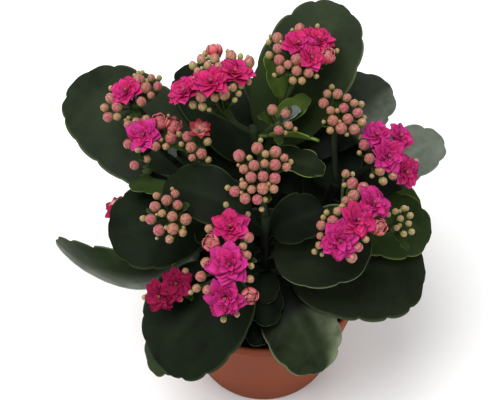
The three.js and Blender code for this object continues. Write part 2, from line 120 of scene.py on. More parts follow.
def finishBody(name, body, materials, node):
    mesh = bpy.data.meshes.new(name)
    mesh.from_pydata([p * mm for p in body["points"]], [], body["faces"])
    for material in materials:
        mesh.materials.append(material)
    mesh.polygons.foreach_set("material_index", body["skins"])
    mesh.polygons.foreach_set("use_smooth", [True] * len(mesh.polygons))
    for mark, values in body["marks"].items():
        mesh.attributes.new(mark, "FLOAT", "POINT").data.foreach_set("value", values)
    work = bmesh.new()
    work.from_mesh(mesh)
    bmesh.ops.recalc_face_normals(work, faces=work.faces)
    work.to_mesh(mesh)
    work.free()
    piece = bpy.data.objects.new(name, mesh)
    bpy.context.scene.collection.objects.link(piece)
    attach(piece, "root")
    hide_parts(node)
    return piece


def squareTo(direction):  # two directions square to a given one
    helper = up if abs(direction.z) < 0.9 else xAxis
    across = helper.cross(direction).normalized()
    return across, direction.cross(across)


def turned(a, b, turn):  # the direction at an angle between two that are square to each other
    return a * math.cos(turn) + b * math.sin(turn)


def circle(centre, a, b, radius, sides, wobble=None):
    points = []
    for j in range(sides):
        turn = fullTurn * j / sides
        reach = radius * (wobble(turn) if wobble else 1)
        points.append(centre + a * (reach * math.cos(turn)) + b * (reach * math.sin(turn)))
    return points


def addTube(body, path, radii, sides, skin=0, **marks):  # a round tube, its frame carried along the path
    directions = []
    for i in range(len(path)):
        before, after = path[max(0, i - 1)], path[min(len(path) - 1, i + 1)]
        directions.append((after - before).normalized())
    a, b = squareTo(directions[0])
    rings = []
    for centre, direction, radius in zip(path, directions, radii):
        a = (a - direction * a.dot(direction)).normalized()
        b = direction.cross(a)
        rings.append(circle(centre, a, b, radius, sides))
    addLoft(body, rings, path[0], path[-1], skin, **marks)


def curved(start, bend, end, steps):  # points along a curve that heads for its bend
    return [start * (1 - t) ** 2 + bend * (2 * t * (1 - t)) + end * t * t for t in
            (i / steps for i in range(steps + 1))]


def alongPath(path, share):  # the point a share of the way along a path
    lengths = [(b - a).length for a, b in zip(path, path[1:])]
    left = share * sum(lengths)
    for a, b, length in zip(path, path[1:], lengths):
        if left <= length:
            return a.lerp(b, left / length)
        left -= length
    return path[-1].copy()


def ease(low, high, value):  # a smooth step from 0 at low to 1 at high
    share = min(1.0, max(0.0, (value - low) / (high - low)))
    return share * share * (3 - 2 * share)


# Pot: polypropylene, injection moulded; smooth and dull, with a soft broad shine and faint flow rings

pot = {
    "rimRadius": 52.5, "height": 90, "baseRadius": 37.5, "wall": 1.6, "bandHeight": 8, "bandStep": 1,
    "foot": ((1.2, 0), (0.5, 0.15), (0.1, 0.6)),  # in from the base's radius, and up
    "shoulder": ((0.6, 0.15), (0.2, 0.5), (0.05, 1.2)),  # in from the rim's radius, and up the band
    "lip": ((0, 4), (0, 0.9), (0.15, 0.35), (0.5, 0.06), (0.8, 0), (1.2, 0.08), (1.5, 0.4)),  # in, and down
    "floorThickness": 2.4, "drainHoles": 6, "holeRadius": 3.5, "holeRing": 24, "holeSides": 32,
    "drillDepth": 10, "sides": 144, "sharpEdge": 40,
    "colour": "#814027", "shadow": "#783a23", "bandColour": "#7b3b24", "roughness": (0.5, 0.64),
}


def mouldedPolypropylene():
    material, tree, shader, here, band = startMaterial("mouldedPolypropylene", {
        "IOR": 1.49, "Specular IOR Level": 0.04, "Metallic": 0}, "bandShare")
    cloud = addNode(tree, "TexNoise", {"Scale": 45, "Detail": 3}, here)  # patches of 22 mm
    flow = addNode(tree, "TexWave", {  # rings from the flow of the plastic, 12 mm apart
        "bands_direction": "Z", "Scale": 26, "Distortion": 2.5, "Detail": 2, "Detail Scale": 1.5}, here)
    patches = addNode(tree, "MapRange", {"From Min": 0.35, "From Max": 0.65}, {"Value": cloud})
    colour = addNode(tree, "Mix", {6: pot["shadow"], 7: pot["colour"]}, {0: patches})
    colour = addNode(tree, "Mix", {7: pot["bandColour"]}, {0: band, 6: colour})
    rough = addNode(tree, "MapRange", {"From Min": 0.3, "From Max": 0.7, "To Min": pot["roughness"][0],
                                       "To Max": pot["roughness"][1]}, {"Value": cloud})
    grain = addNode(tree, "TexNoise", {"Scale": 900, "Detail": 2}, here)  # mould grain, drawn at 1 mm to show
    both = addNode(tree, "Math", {"operation": "MULTIPLY_ADD", 1: 0.35}, {0: flow, 2: grain})
    bump = addNode(tree, "Bump", {"Strength": 0.12, "Distance": 0.3 * mm}, {"Height": both})
    feed(tree, shader, {"Base Color": colour, "Roughness": rough, "Normal": bump})
    return material


def makePot():
    top, rim, wall, base = pot["height"], pot["rimRadius"], pot["wall"], pot["baseRadius"]
    low, floor = top - pot["bandHeight"], pot["floorThickness"]  # low is where the band starts
    slope = (rim - pot["bandStep"] - base) / low
    taper = lambda z: base + slope * z
    outline = [(12, 0), (24, 0)] + [(base - inset, z) for inset, z in pot["foot"]]  # radius and height
    outline += [(taper(z), z) for z in (1.2, 4, 10, 20, 30, 40, 50, 60, 70, 78, low - 0.5)]
    outline += [(taper(low) + 0.12, low - 0.1)] + [(rim - inset, low + z) for inset, z in pot["shoulder"]]
    outline += [(rim - inset, top - drop) for inset, drop in pot["lip"]]
    outline += [(rim - wall, top - 1), (taper(low) - wall + 0.3, low + 0.6), (taper(low) - wall, low)]
    outline += [(taper(z) - wall - 0.1, z) for z in (70, 50, 30, 12, 5)]
    outline += [(taper(3) - wall - 1, floor + 0.15), (34, floor), (24, floor), (12, floor)]
    body = startBody("bandShare")
    rings = [circle(up * z, xAxis, yAxis, radius, pot["sides"]) for radius, z in outline]
    addLoft(body, rings, Vector(), up * floor, bandShare=[float(z > low) for _, z in outline])
    piece = finishBody("mouldedPot", body, [mouldedPolypropylene()], "pot")
    drill = bmesh.new()  # the drain holes
    for i in range(pot["drainHoles"]):
        turn = fullTurn * (i + 0.5) / pot["drainHoles"]
        centre = Vector((pot["holeRing"] * math.cos(turn), pot["holeRing"] * math.sin(turn), 1)) * mm
        bmesh.ops.create_cone(drill, cap_ends=True, segments=pot["holeSides"], depth=pot["drillDepth"] * mm,
                              radius1=pot["holeRadius"] * mm, radius2=pot["holeRadius"] * mm,
                              matrix=Matrix.Translation(centre))
    drillMesh = bpy.data.meshes.new("drill")
    drill.to_mesh(drillMesh)
    drill.free()
    drillObject = bpy.data.objects.new("drill", drillMesh)
    bpy.context.scene.collection.objects.link(drillObject)
    cut = piece.modifiers.new("holes", "BOOLEAN")
    cut.operation, cut.solver, cut.object = "DIFFERENCE", "EXACT", drillObject
    bpy.context.view_layer.update()
    cutMesh = bpy.data.meshes.new_from_object(piece.evaluated_get(bpy.context.evaluated_depsgraph_get()))
    piece.modifiers.clear()
    piece.data = cutMesh
    bpy.data.objects.remove(drillObject)
    bpy.data.meshes.remove(drillMesh)
    sharp = bmesh.new()
    sharp.from_mesh(cutMesh)
    for edge in sharp.edges:
        edge.smooth = edge.calc_face_angle(0) < math.radians(pot["sharpEdge"])
    sharp.to_mesh(cutMesh)
    sharp.free()


makePot()
print("pot made")


# Soil: peat with bark, watered and settled; nearly black, dull, with ragged crumbs

soil = {
    "belowRim": 11, "dome": 2, "gap": 0.3, "clearance": 0.5, "sides": 96, "domeRings": 26,
    "lumps": ((0.16, 1.1), (0.5, 0.7)), "sink": 0.4, "crumbs": 420, "crumbSize": (0.7, 2.1), "seed": 5,
    "dark": "#0d0a08", "light": "#1f1812", "fibre": "#3a2c1e",
}


def loosePeat():
    material, tree, shader, here = startMaterial("loosePeat", {
        "Roughness": 0.93, "IOR": 1.4, "Specular IOR Level": 0.2})
    crumbs = addNode(tree, "TexNoise", {"Scale": 420, "Detail": 6, "Roughness": 0.7}, here)  # crumbs of 2 mm
    stops = [(0.35, soil["dark"]), (0.62, soil["light"]), (0.8, soil["fibre"])]
    colour = addNode(tree, "ValToRGB", {"stops": stops}, {"Fac": crumbs})
    bump = addNode(tree, "Bump", {"Strength": 0.8, "Distance": 1 * mm}, {"Height": crumbs})
    feed(tree, shader, {"Base Color": colour, "Normal": bump})
    return material


def makeSoil():
    rng = random.Random(soil["seed"])
    bottom = pot["floorThickness"] + soil["gap"]
    top = pot["height"] - soil["belowRim"]
    slope = (pot["rimRadius"] - pot["bandStep"] - pot["baseRadius"]) / (pot["height"] - pot["bandHeight"])
    inner = pot["baseRadius"] - pot["wall"] - soil["clearance"]
    inside = lambda z: inner + slope * (z - pot["floorThickness"])
    body = startBody()
    rings = [circle(up * z, xAxis, yAxis, inside(z), soil["sides"]) for z in (bottom, 20, 40, 60, top - 1.5)]
    for k in range(soil["domeRings"]):
        share = 1 - k / soil["domeRings"]
        height = top + soil["dome"] * (1 - share * share)
        ring = circle(up * height, xAxis, yAxis, inside(top) * share, soil["sides"])
        for p in ring:
            rough = sum(noise.noise(p * scale) * depth for scale, depth in soil["lumps"])
            p.z += rough * ease(1.0, 0.93, share) - soil["sink"]
        rings.append(ring)
    addLoft(body, rings, up * bottom, up * (top + soil["dome"] - soil["sink"]))
    for _ in range(soil["crumbs"]):  # crumbs and bits of bark, half sunk in
        turn, reach = rng.random() * fullTurn, (inside(top) - 3) * math.sqrt(rng.random())
        size = rng.uniform(*soil["crumbSize"])
        height = top + soil["dome"] * (1 - (reach / inside(top)) ** 2)
        centre = Vector((reach * math.cos(turn), reach * math.sin(turn), height + size * 0.1))
        direction = Vector((rng.gauss(0, 1), rng.gauss(0, 1), rng.gauss(0, 0.5))).normalized()
        a, b = squareTo(direction)
        half = size * rng.uniform(0.8, 1.7)
        flat = rng.uniform(0.5, 1)
        crumb = []
        for share in (-0.7, -0.1, 0.5, 0.85):
            girth = size * math.sqrt(1 - share * share) * rng.uniform(0.8, 1.1)
            crumb.append(circle(centre + direction * (half * share), a, b * flat, girth, 6,
                                lambda turn: rng.uniform(0.8, 1.15)))
        addLoft(body, crumb, centre - direction * half, centre + direction * half)
    finishBody("peatBed", body, [loosePeat()], "soil")


makeSoil()
print("soil made")


# Stems: green shoots under a thin wax; satin, and nearly black where the leaves shade them

stemForm = {
    "radius": 2.8, "taper": 0.25, "sides": 18, "steps": 36, "swell": 0.25, "swellLength": 2.2,
    "stalkRadius": 1.25, "stalkSides": 12, "stalkSteps": 18, "seed": 70,
    "green": "#29351f", "pale": "#3e4b31", "shade": "#050704", "shadeFrom": 165, "shadeFull": 140,
}
stemPoints = {
    "left": [(-13, 3, 62), (-17, 6, 98), (-25, 10, 125), (-31, 15, 146)],
    "back": [(2, 14, 62), (0, 20, 98), (-3, 28, 130), (-6, 34, 156)],
    "right": [(15, 3, 62), (21, 6, 98), (28, 9, 120), (34, 12, 141)],
    "front": [(1, -11, 62), (0, -15, 98), (0, -18, 122), (0, -13, 150)],
}
stemPoints = {name: [Vector(p) for p in points] for name, points in stemPoints.items()}


def stemSpot(points, t):  # a smooth curve through the points, its pace set by their distances
    last = len(points) - 1
    at = min(last - 1, int(t * last))
    share = t * last - at
    p1, p2 = points[at], points[at + 1]
    p0 = points[at - 1] if at else p1 * 2 - p2
    p3 = points[at + 2] if at + 2 <= last else p2 * 2 - p1
    d0, d1, d2 = (math.sqrt((b - a).length) for a, b in ((p0, p1), (p1, p2), (p2, p3)))
    t1 = ((p1 - p0) / d0 - (p2 - p0) / (d0 + d1) + (p2 - p1) / d1) * d1
    t2 = ((p2 - p1) / d1 - (p3 - p1) / (d1 + d2) + (p3 - p2) / d2) * d1
    bend = p1 * -3 + p2 * 3 - t1 * 2 - t2
    return p1 + t1 * share + bend * share ** 2 + (p1 * 2 - p2 * 2 + t1 + t2) * share ** 3


def stemPoint(name, z):  # the point of a stem's middle line at a height
    spots = [stemSpot(stemPoints[name], i / 60) for i in range(61)]
    return min(spots, key=lambda p: abs(p.z - z)).copy()


def waxedStem():
    material, tree, shader, here = startMaterial("waxedStem", {
        "Roughness": 0.55, "IOR": 1.42, "Specular IOR Level": 0.07})
    blotches = addNode(tree, "TexNoise", {"Scale": 160, "Detail": 3}, here)  # of 6 mm
    colour = addNode(tree, "Mix", {6: stemForm["green"], 7: stemForm["pale"]}, {0: blotches})
    place = addNode(tree, "SeparateXYZ", None, here)
    low = addNode(tree, "MapRange", {"From Min": stemForm["shadeFrom"] * mm,
                                     "From Max": stemForm["shadeFull"] * mm}, {"Value": place.outputs["Z"]})
    colour = addNode(tree, "Mix", {7: stemForm["shade"]}, {0: low, 6: colour})
    bump = addNode(tree, "Bump", {"Strength": 0.3, "Distance": 0.4 * mm}, {"Height": blotches})
    feed(tree, shader, {"Base Color": colour, "Normal": bump})
    return material


# Leaves: fleshy blades under a waxy skin; nearly black green with a soft sheen, a thin paler rim,
# and on some a painted sheen, on a few grey all over, on others in pale streaks down one side; on some,
# painted shade near the stem

leafForm = {
    "thickness": 1.7, "footThickness": 2.2, "lobeLength": 9.5, "lobeDepth": 1.3, "lobeVariety": (0.55, 1.3),
    "rowsForLobe": 8, "across": 9, "edge": 0.24, "midrib": 0.45, "quilt": 0.16, "veinSlant": 0.8,
    "veinStep": 1.1, "veinWidth": 0.07, "crumple": ((0.07, 0.4), (0.2, 0.125)), "seed": 11,
}
leafSkins = {
    "old": {"top": "#0c110a", "topLight": "#151d11", "vein": "#1a2215", "rim": "#2c3620",
            "under": "#343f28", "roughness": 0.42, "specular": 0.03},
    "dull": {"top": "#151c11", "topLight": "#232c1c", "vein": "#293221", "rim": "#3f4a2d",
             "under": "#4b573b", "roughness": 0.5},
    "shaded": {"top": "#171c12", "topLight": "#20271a", "vein": "#262e1e", "rim": "#39442c",
               "under": "#343f28", "roughness": 0.42, "specular": 0.03},
    # painted shade near the stem, in its own foot colour
    "lit": {"top": "#1b2414", "topLight": "#28321f", "vein": "#36402b", "rim": "#4a5636",
            "under": "#56624a", "roughness": 0.5, "shadedFoot": 0.5, "foot": "#232f16"},
    "edged": {"top": "#10160c", "topLight": "#1a2214", "vein": "#212b18", "rim": "#6c7f3f",
              "under": "#4c5a33", "roughness": 0.42},
    # painted sheen in pale streaks along one side
    "silvered": {"top": "#232f1a", "topLight": "#38442d", "vein": "#3f4b37", "rim": "#8a9184",
                 "under": "#6a7365", "roughness": 0.42, "pale": "#80877b", "sheenSide": (0.1, -0.7)},
    # painted sheen in pale streaks on one side, and painted shade near the stem
    "mottled": {"top": "#161e10", "topLight": "#2a341f", "vein": "#323c28", "rim": "#6c765c",
                "under": "#56624a", "roughness": 0.42, "pale": "#727b60", "sheenSide": (-0.25, -0.9),
                "shadedFoot": 0.4},
    # painted sheen in pale streaks on one side, and painted shade near the stem
    "sheened": {"top": "#1b2117", "topLight": "#30372b", "vein": "#2b3226", "rim": "#50574a",
                "under": "#4b573b", "roughness": 0.46, "pale": "#51574d", "sheenSide": (0, 0.75),
                "shadedFoot": 0.58},
    # painted sheen: grey all over, for the light off the wax, with painted shade near the stem
    "dusty": {"top": "#454c41", "topLight": "#636b5f", "vein": "#6b7367", "rim": "#737b6a",
              "under": "#717a69", "roughness": 0.55, "shadedFoot": 0.5},
    # greyer all over, with painted shade near the stem
    "greyed": {"top": "#3d4440", "topLight": "#5c645f", "vein": "#666e68", "rim": "#868e88",
               "under": "#717a69", "roughness": 0.5, "shadedFoot": 0.25},
    "fresh": {"top": "#1a2610", "topLight": "#293817", "vein": "#33431c", "rim": "#56692f",
              "under": "#4c5f33", "roughness": 0.4},
    "young": {"top": "#2c3b17", "topLight": "#42541f", "vein": "#4f6328", "rim": "#6c8039",
              "under": "#556a30", "roughness": 0.42},
}
leafSkins["rimmed"] = dict(leafSkins["shaded"], rim="#5f6c4c", rimFrom=0.95)
# each leaf: its stem and the height it leaves it at, its tip, width, arch, cup, roll and skin, and
# where its stalk widens if that isn't the usual share
leaves = {
    "leafUpperLeft": ("left", 121, (-95, 81, 133), 54, 7, -2, -6, "dull"),
    "leafTop": ("back", 132, (37, 83, 188), 49, 4, 1, 0, "lit"),
    "leafUpperRight": ("back", 129, (62, 65, 148), 44, 6, -2, -8, "sheened"),
    "leafFarRight": ("right", 118, (89, 49, 126), 30, 6, 3, 8, "dusty"),
    "leafRightRear": ("right", 107, (78, 22, 109), 34, 5, 2, 0, "young"),
    "leafRight": ("right", 114, (82, 1, 113), 36, 7, -2, 12, "fresh"),
    "leafLowerRight": ("front", 101, (79, -16, 104), 57, 7, -3, 3, "shaded"),
    "leafFrontRight": ("front", 124, (50, -20, 138), 41, -2, 6, 14, "rimmed", 0.06),
    "leafCentreRight": ("front", 137, (28, -6, 145), 25, 3, 3, 8, "old", 0.08),
    "leafLeft": ("left", 113, (-76, -6, 121), 46, 6, -2, -6, "old"),
    "leafCentreLeft": ("front", 144, (-48, 7, 148), 29, 9, 1, -10, "old"),
    "leafFarLeft": ("left", 108, (-101, -12, 125), 35, -25, 5, 25, "silvered"),
    "leafLowerLeft": ("front", 113, (-53, -58, 89), 57, 12, -3, 4, "old"),
    "leafLowestLeft": ("front", 104, (-57, -55, 74), 34, 13, -1, 8, "fresh"),
    "leafFront": ("front", 101, (0, -47, 106), 18, 4, -2, 0, "old"),
    "leafLowerFront": ("front", 97, (28, -60, 83), 37, 12, -1, 6, "mottled"),
    "leafBackLeft": ("back", 120, (-41, 86, 136), 34, 6, 2, 0, "old"),
    "leafBack": ("back", 104, (-8, 96, 112), 46, 12, -3, 0, "old"),
    "leafBackRight": ("back", 98, (52, 84, 100), 42, 12, -3, 0, "old"),
    "leafLowBackLeft": ("left", 94, (-62, 62, 90), 40, 8, -3, 0, "old"),
    "leafCentreRear": ("right", 125, (40, 48, 136), 28, 4, 2, 0, "old"),
    "leafInnerLeft": ("back", 112, (-40, 61, 125), 32, 4, 2, 0, "old"),
    "leafInnerRight": ("right", 112, (36, 40, 120), 26, 3, 2, 0, "old"),
    "leafInnerFront": ("left", 97, (-24, -7, 98), 26, 2, -2, 0, "old"),
    "leafCentre": ("back", 104, (-1, 3, 106), 26, 5, 2, 0, "old"),
    "leafFrontLow": ("front", 93, (-5, -52, 94), 18, 3, -1, 0, "old"),
    "leafFrontMiddle": ("front", 107, (0, -37, 110), 14, 2, 1, 0, "old"),
    "leafHighRight": ("back", 140, (27, 6, 158), 16, 2, 2, 0, "edged"),
    "leafMidLeft": ("front", 125, (-34, -11, 132), 16, 2, 2, 0, "old"),
}
leafMarks = ("edgeShare", "underside", "alongShare", "veinShare", "sideShare")


def waxyLeaf(kind):
    skin = leafSkins[kind]
    material, tree, shader, here, edge, under, vein = startMaterial(kind + "WaxyLeaf", {
        "IOR": 1.42, "Specular IOR Level": skin.get("specular", 0.07)}, "edgeShare", "underside", "veinShare")
    cloud = addNode(tree, "TexNoise", {"Scale": 55, "Detail": 4, "Roughness": 0.6}, here)  # patches of 18 mm
    patches = addNode(tree, "MapRange", {"From Min": 0.36, "From Max": 0.68}, {"Value": cloud})
    faint = addNode(tree, "Math", {"operation": "MULTIPLY", 1: 0.55}, {0: vein})
    rim = addNode(tree, "MapRange", {"interpolation_type": "SMOOTHSTEP",
                                     "From Min": skin.get("rimFrom", 0.93), "To Max": 0.9}, {"Value": edge})
    coats = [(skin["under"], under), (skin["vein"], faint), (skin["rim"], rim)]
    if "sheenSide" in skin:  # painted sheen: one side, as if turned to the light, is paler in streaks of 8 mm
        across = addNode(tree, "Attribute", {"attribute_name": "sideShare"})
        side = addNode(tree, "MapRange", {"interpolation_type": "SMOOTHSTEP", "From Min": skin["sheenSide"][0],
                                          "From Max": skin["sheenSide"][1]}, {"Value": across})
        streak = addNode(tree, "TexNoise", {"Scale": 130, "Detail": 3}, here)
        broken = addNode(tree, "MapRange", {"From Min": 0.3, "From Max": 0.6, "To Min": 0.35},
                         {"Value": streak})
        lit = addNode(tree, "Math", {"operation": "MULTIPLY"}, {0: side, 1: broken})
        coats.append((skin["pale"], lit))
    if "shadedFoot" in skin:  # painted shade: the part near the stem is darker
        along = addNode(tree, "Attribute", {"attribute_name": "alongShare"})
        foot = addNode(tree, "MapRange", {"From Min": skin["shadedFoot"] + 0.1, "From Max": skin["shadedFoot"]},
                       {"Value": along})
        coats.append((skin.get("foot", leafSkins["old"]["top"]), foot))
    colour = addNode(tree, "Mix", {6: skin["top"], 7: skin["topLight"]}, {0: patches})
    for coat, share in coats:
        colour = addNode(tree, "Mix", {7: coat}, {0: share, 6: colour})
    rough = addNode(tree, "MapRange", {"From Min": 0.3, "From Max": 0.7, "To Min": skin["roughness"] - 0.06,
                                       "To Max": skin["roughness"] + 0.1}, {"Value": cloud})
    cells = addNode(tree, "TexNoise", {"Scale": 700, "Detail": 3}, here)  # cells, drawn at 1.5 mm to show
    bump = addNode(tree, "Bump", {"Strength": 0.14, "Distance": 0.5 * mm}, {"Height": cells})
    feed(tree, shader, {"Base Color": colour, "Roughness": rough, "Normal": bump})
    return material


# A blade runs from base to tip on a chord. arch lifts its middle off the chord, cup lifts its edges,
# roll turns it about the chord, and wave ripples its edges.
def addBlade(body, rng, base, tip, width, arch, cup, roll, skin=0, petiole=0.14, wave=0.6, plump=1):
    chord = tip - base
    length = chord.length
    along = chord.normalized()
    side = Matrix.Rotation(math.radians(roll), 3, along) @ along.cross(up).normalized()
    lift = side.cross(along)
    middle = (1 + petiole) / 2
    lobes = max(3, round(length * 0.8 / leafForm["lobeLength"]))  # on each side, past the stalk
    stations = lobes * 2
    depths = {sign: [rng.uniform(*leafForm["lobeVariety"]) for _ in range(stations + 2)] for sign in (-1, 1)}
    drift = Vector((rng.uniform(0, 90), rng.uniform(0, 90), rng.uniform(0, 90)))
    count = leafForm["across"]
    shares = [math.sin(math.pi / 2 * k / count) for k in range(-count, count + 1)]

    def retreat(station, sign):  # 0 at the crown of a lobe, 1 in the notch between two
        away = (station + (1 if sign > 0 else 0)) % 2
        away = min(away, 2 - away)
        depth = depths[sign][int(station)]
        return (1 - math.sin(away * math.pi / 2) ** 0.6) * ease(0.2, 0.5, station / stations) * depth

    def row(t, half, thick, station=None):  # the points of one ring, and the marks of each
        points, marks = [], []
        blade = ease(petiole * 0.9, petiole + 0.12, t)
        for face in (1, -1):
            for share in (shares if face > 0 else shares[::-1]):
                sign = 1 if share > 0 else -1
                notch, place = 0, t
                if station is not None:
                    notch = retreat(station, sign) * leafForm["lobeDepth"] / (width / 2) * abs(share) ** 5
                    place = middle + (t - middle) * (1 - notch)
                across = share * half * (1 - notch)
                edge = across / (width / 2)
                ripple = wave * math.sin(place * 11 + sign) * edge * edge
                height = arch * 4 * place * (1 - place) + cup * edge * edge + ripple
                full = leafForm["edge"] + (1 - leafForm["edge"]) * (1 - abs(share) ** 2.6)
                if blade <= 0.5:  # rounder towards the stalk
                    full = math.sqrt(max(0.02, 1 - share * share)) * (1 - blade) + full * blade
                rib = math.exp(-(across / (1.5 + 1.2 * (1 - place))) ** 2) * blade * ease(1, 0.75, place)
                ray = place * length - abs(across) * leafForm["veinSlant"]  # whole numbers on the side veins
                ray /= leafForm["lobeLength"] * leafForm["veinStep"]
                quilt = abs(math.sin(math.pi * ray)) - 0.6
                quilt *= leafForm["quilt"] * blade * (1 - rib) * (1 - abs(share) ** 4)
                height += face * (plump * thick / 2 * full) + quilt
                height -= leafForm["midrib"] * rib * (1.0 if face > 0 else 1.3)
                point = base + chord * place + side * across + lift * height
                crumple = sum(noise.noise(point * scale + drift) * depth
                              for scale, depth in leafForm["crumple"])
                points.append(point + lift * (crumple * blade))
                narrow = max(0.0, 1 - min(ray % 1, 1 - ray % 1) / leafForm["veinWidth"])
                vein = max(rib, 0.5 * narrow * blade * (1 - abs(share) ** 3))
                inBlade = 1 if blade > 0.5 else 0
                marks.append((abs(share) * inBlade, float(face < 0), vein, share * inBlade))
        return t, points, marks

    rows = []
    for k in range(5):  # the stalk
        foot = plump * (1.5 + 0.2 * k / 4 + 0.9 * (1 - k / 4) ** 3)
        rows.append(row(petiole * 0.85 * k / 4, foot, 2.4 - 0.2 * k / 4))
    total = lobes * leafForm["rowsForLobe"]
    for k in range(1, total):
        angle = math.pi * k / total
        t = petiole + (1 - petiole) * (1 - math.cos(angle)) / 2
        half = width / 2 * math.sin(angle) ** 0.85 * (1 - 0.1 * math.cos(angle))
        early = ease(petiole + 0.1, petiole, t)
        thick = leafForm["thickness"] * (1 - early) + leafForm["footThickness"] * early
        rows.append(row(t, max(half, 1.7 * plump), thick, stations * k / total))
    rings = [points for _, points, _ in rows]
    centres = [(ring[count] + ring[3 * count + 1]) / 2 for ring in rings[-2:]]
    last = centres[1] + (centres[1] - centres[0]).normalized() * 0.4
    marks = [rows[0][2][0], *(mark for _, _, marks in rows for mark in marks), rows[-1][2][0]]
    edges, unders, veins, sides = (list(values) for values in zip(*marks))
    alongs = [rows[0][0]] + [t for t, points, _ in rows for _ in points] + [1.0]
    addLoft(body, rings, base.copy(), last, skin, edgeShare=edges, underside=unders, veinShare=veins,
            sideShare=sides, alongShare=alongs)


leafMaterials = {kind: waxyLeaf(kind) for kind in leafSkins}
rng = random.Random(leafForm["seed"])
for name, (stem, z, tip, width, arch, cup, roll, kind, *petiole) in leaves.items():
    body = startBody(*leafMarks)
    base = stemPoint(stem, z)
    tip = base.lerp(Vector(tip), 0.994)
    base += (tip - base).normalized()
    addBlade(body, rng, base, tip, width, arch, cup, roll, 0, *petiole)
    finishBody(name.replace("leaf", "blade"), body, [leafMaterials[kind]], name)
print("leaves made:", len(leaves))


# Flower heads: double blooms and waxy buds on short stalks that spring from one swollen joint

headForm = {
    "depth": 15, "upright": 1.5, "lean": 32, "dome": 26, "stalkRadius": 0.55, "stalkSides": 7,
    "stalkSteps": 6, "bloomHeight": 0.6, "bloomRoom": 0.72, "bloomGive": 0.1,
    "hubRadius": 3.2, "hubSides": 12,
    "hub": ((0.45, 0), (0.6, 0.3), (0.75, 0.7), (0.8, 1.1), (0.62, 1.5), (0.35, 1.8)),  # radius and height
    "fillerTries": 12, "fillerRadius": (1.0, 1.75), "fillerSunk": (1.2, 3), "fillerShare": 0.5,
    "bracts": 3, "bractWidth": 5, "bractReach": (9, 13), "bractRise": (6, 9), "seed": 31,
}
budSizes = {"tiny": (1.7, 4.2), "young": (2.2, 5.3), "plump": (2.9, 6.9), "opening": (3.9, 9.2)}
budRipeness = {"tiny": (0, 0.15), "young": (0.15, 0.75), "plump": (0.6, 1)}
budForm = {
    "sides": 30, "twist": (0.9, 1.8), "folds": (4, 5, 5), "foldDepth": 0.15, "foldWidth": 0.08,
    "sizeVariety": (0.76, 0.97), "calyxSides": 16,
    "profile": ((0.3, 0.03), (0.66, 0.1), (0.9, 0.21), (1.0, 0.34), (1.0, 0.46), (0.94, 0.57), (0.83, 0.68),
                (0.67, 0.78), (0.47, 0.87), (0.24, 0.94)),  # radius and height
}
# a calyx: radius, and height between its points and at them
calyxProfile = ((0.3, -0.12, -0.12), (0.55, -0.02, -0.02), (0.86, 0.1, 0.1), (1.05, 0.17, 0.36),
                (0.95, 0.16, 0.35), (0.6, 0.1, 0.1))
# each layer of petals: how many, reach, half width, rise at the claw, the middle and the tip, lift
petalLayers = {
    "double": [(6, 1.17, 0.48, 28, 8, -8, 0.07), (6, 1.05, 0.44, 34, 12, 0, 0.08),
               (6, 0.84, 0.37, 40, 17, 8, 0.09), (5, 0.6, 0.28, 48, 27, 18, 0.09),
               (5, 0.42, 0.2, 60, 38, 30, 0.09), (4, 0.25, 0.13, 70, 54, 48, 0.09)],
    "star": [(6, 1.12, 0.42, 56, 26, 4, 0.05), (6, 0.92, 0.34, 64, 36, 16, 0.08),
             (5, 0.6, 0.2, 72, 52, 44, 0.1)],
    "edged": [(6, 1.1, 0.46, 40, 18, 0, 0.1), (6, 0.9, 0.36, 52, 30, 12, 0.14),
              (5, 0.6, 0.24, 62, 44, 28, 0.16)],
    "opening": [(5,), (4,)],  # still folded round the bud
}
petalLayers["crimson"] = petalLayers["double"]
petalForm = {
    "thickness": 0.32, "rows": 8, "cup": 0.2, "claw": 0.8, "point": 1.05, "tilt": 6, "groove": 0.012,
    "throat": 0.05, "reachVariety": (0.89, 1.03), "widthVariety": (0.9, 1.08), "twist": (0.05, 0.2),
    "curl": (0.6, 1.5), "shift": 0.2,
    "foldedRows": 8, "foldedSpread": 1.05, "foldedFlare": (0.15, 0.55), "edgedSize": 1.75,
    "anthers": 5, "antherRadii": (0.1, 0.12, 0.24, 0.12),
}
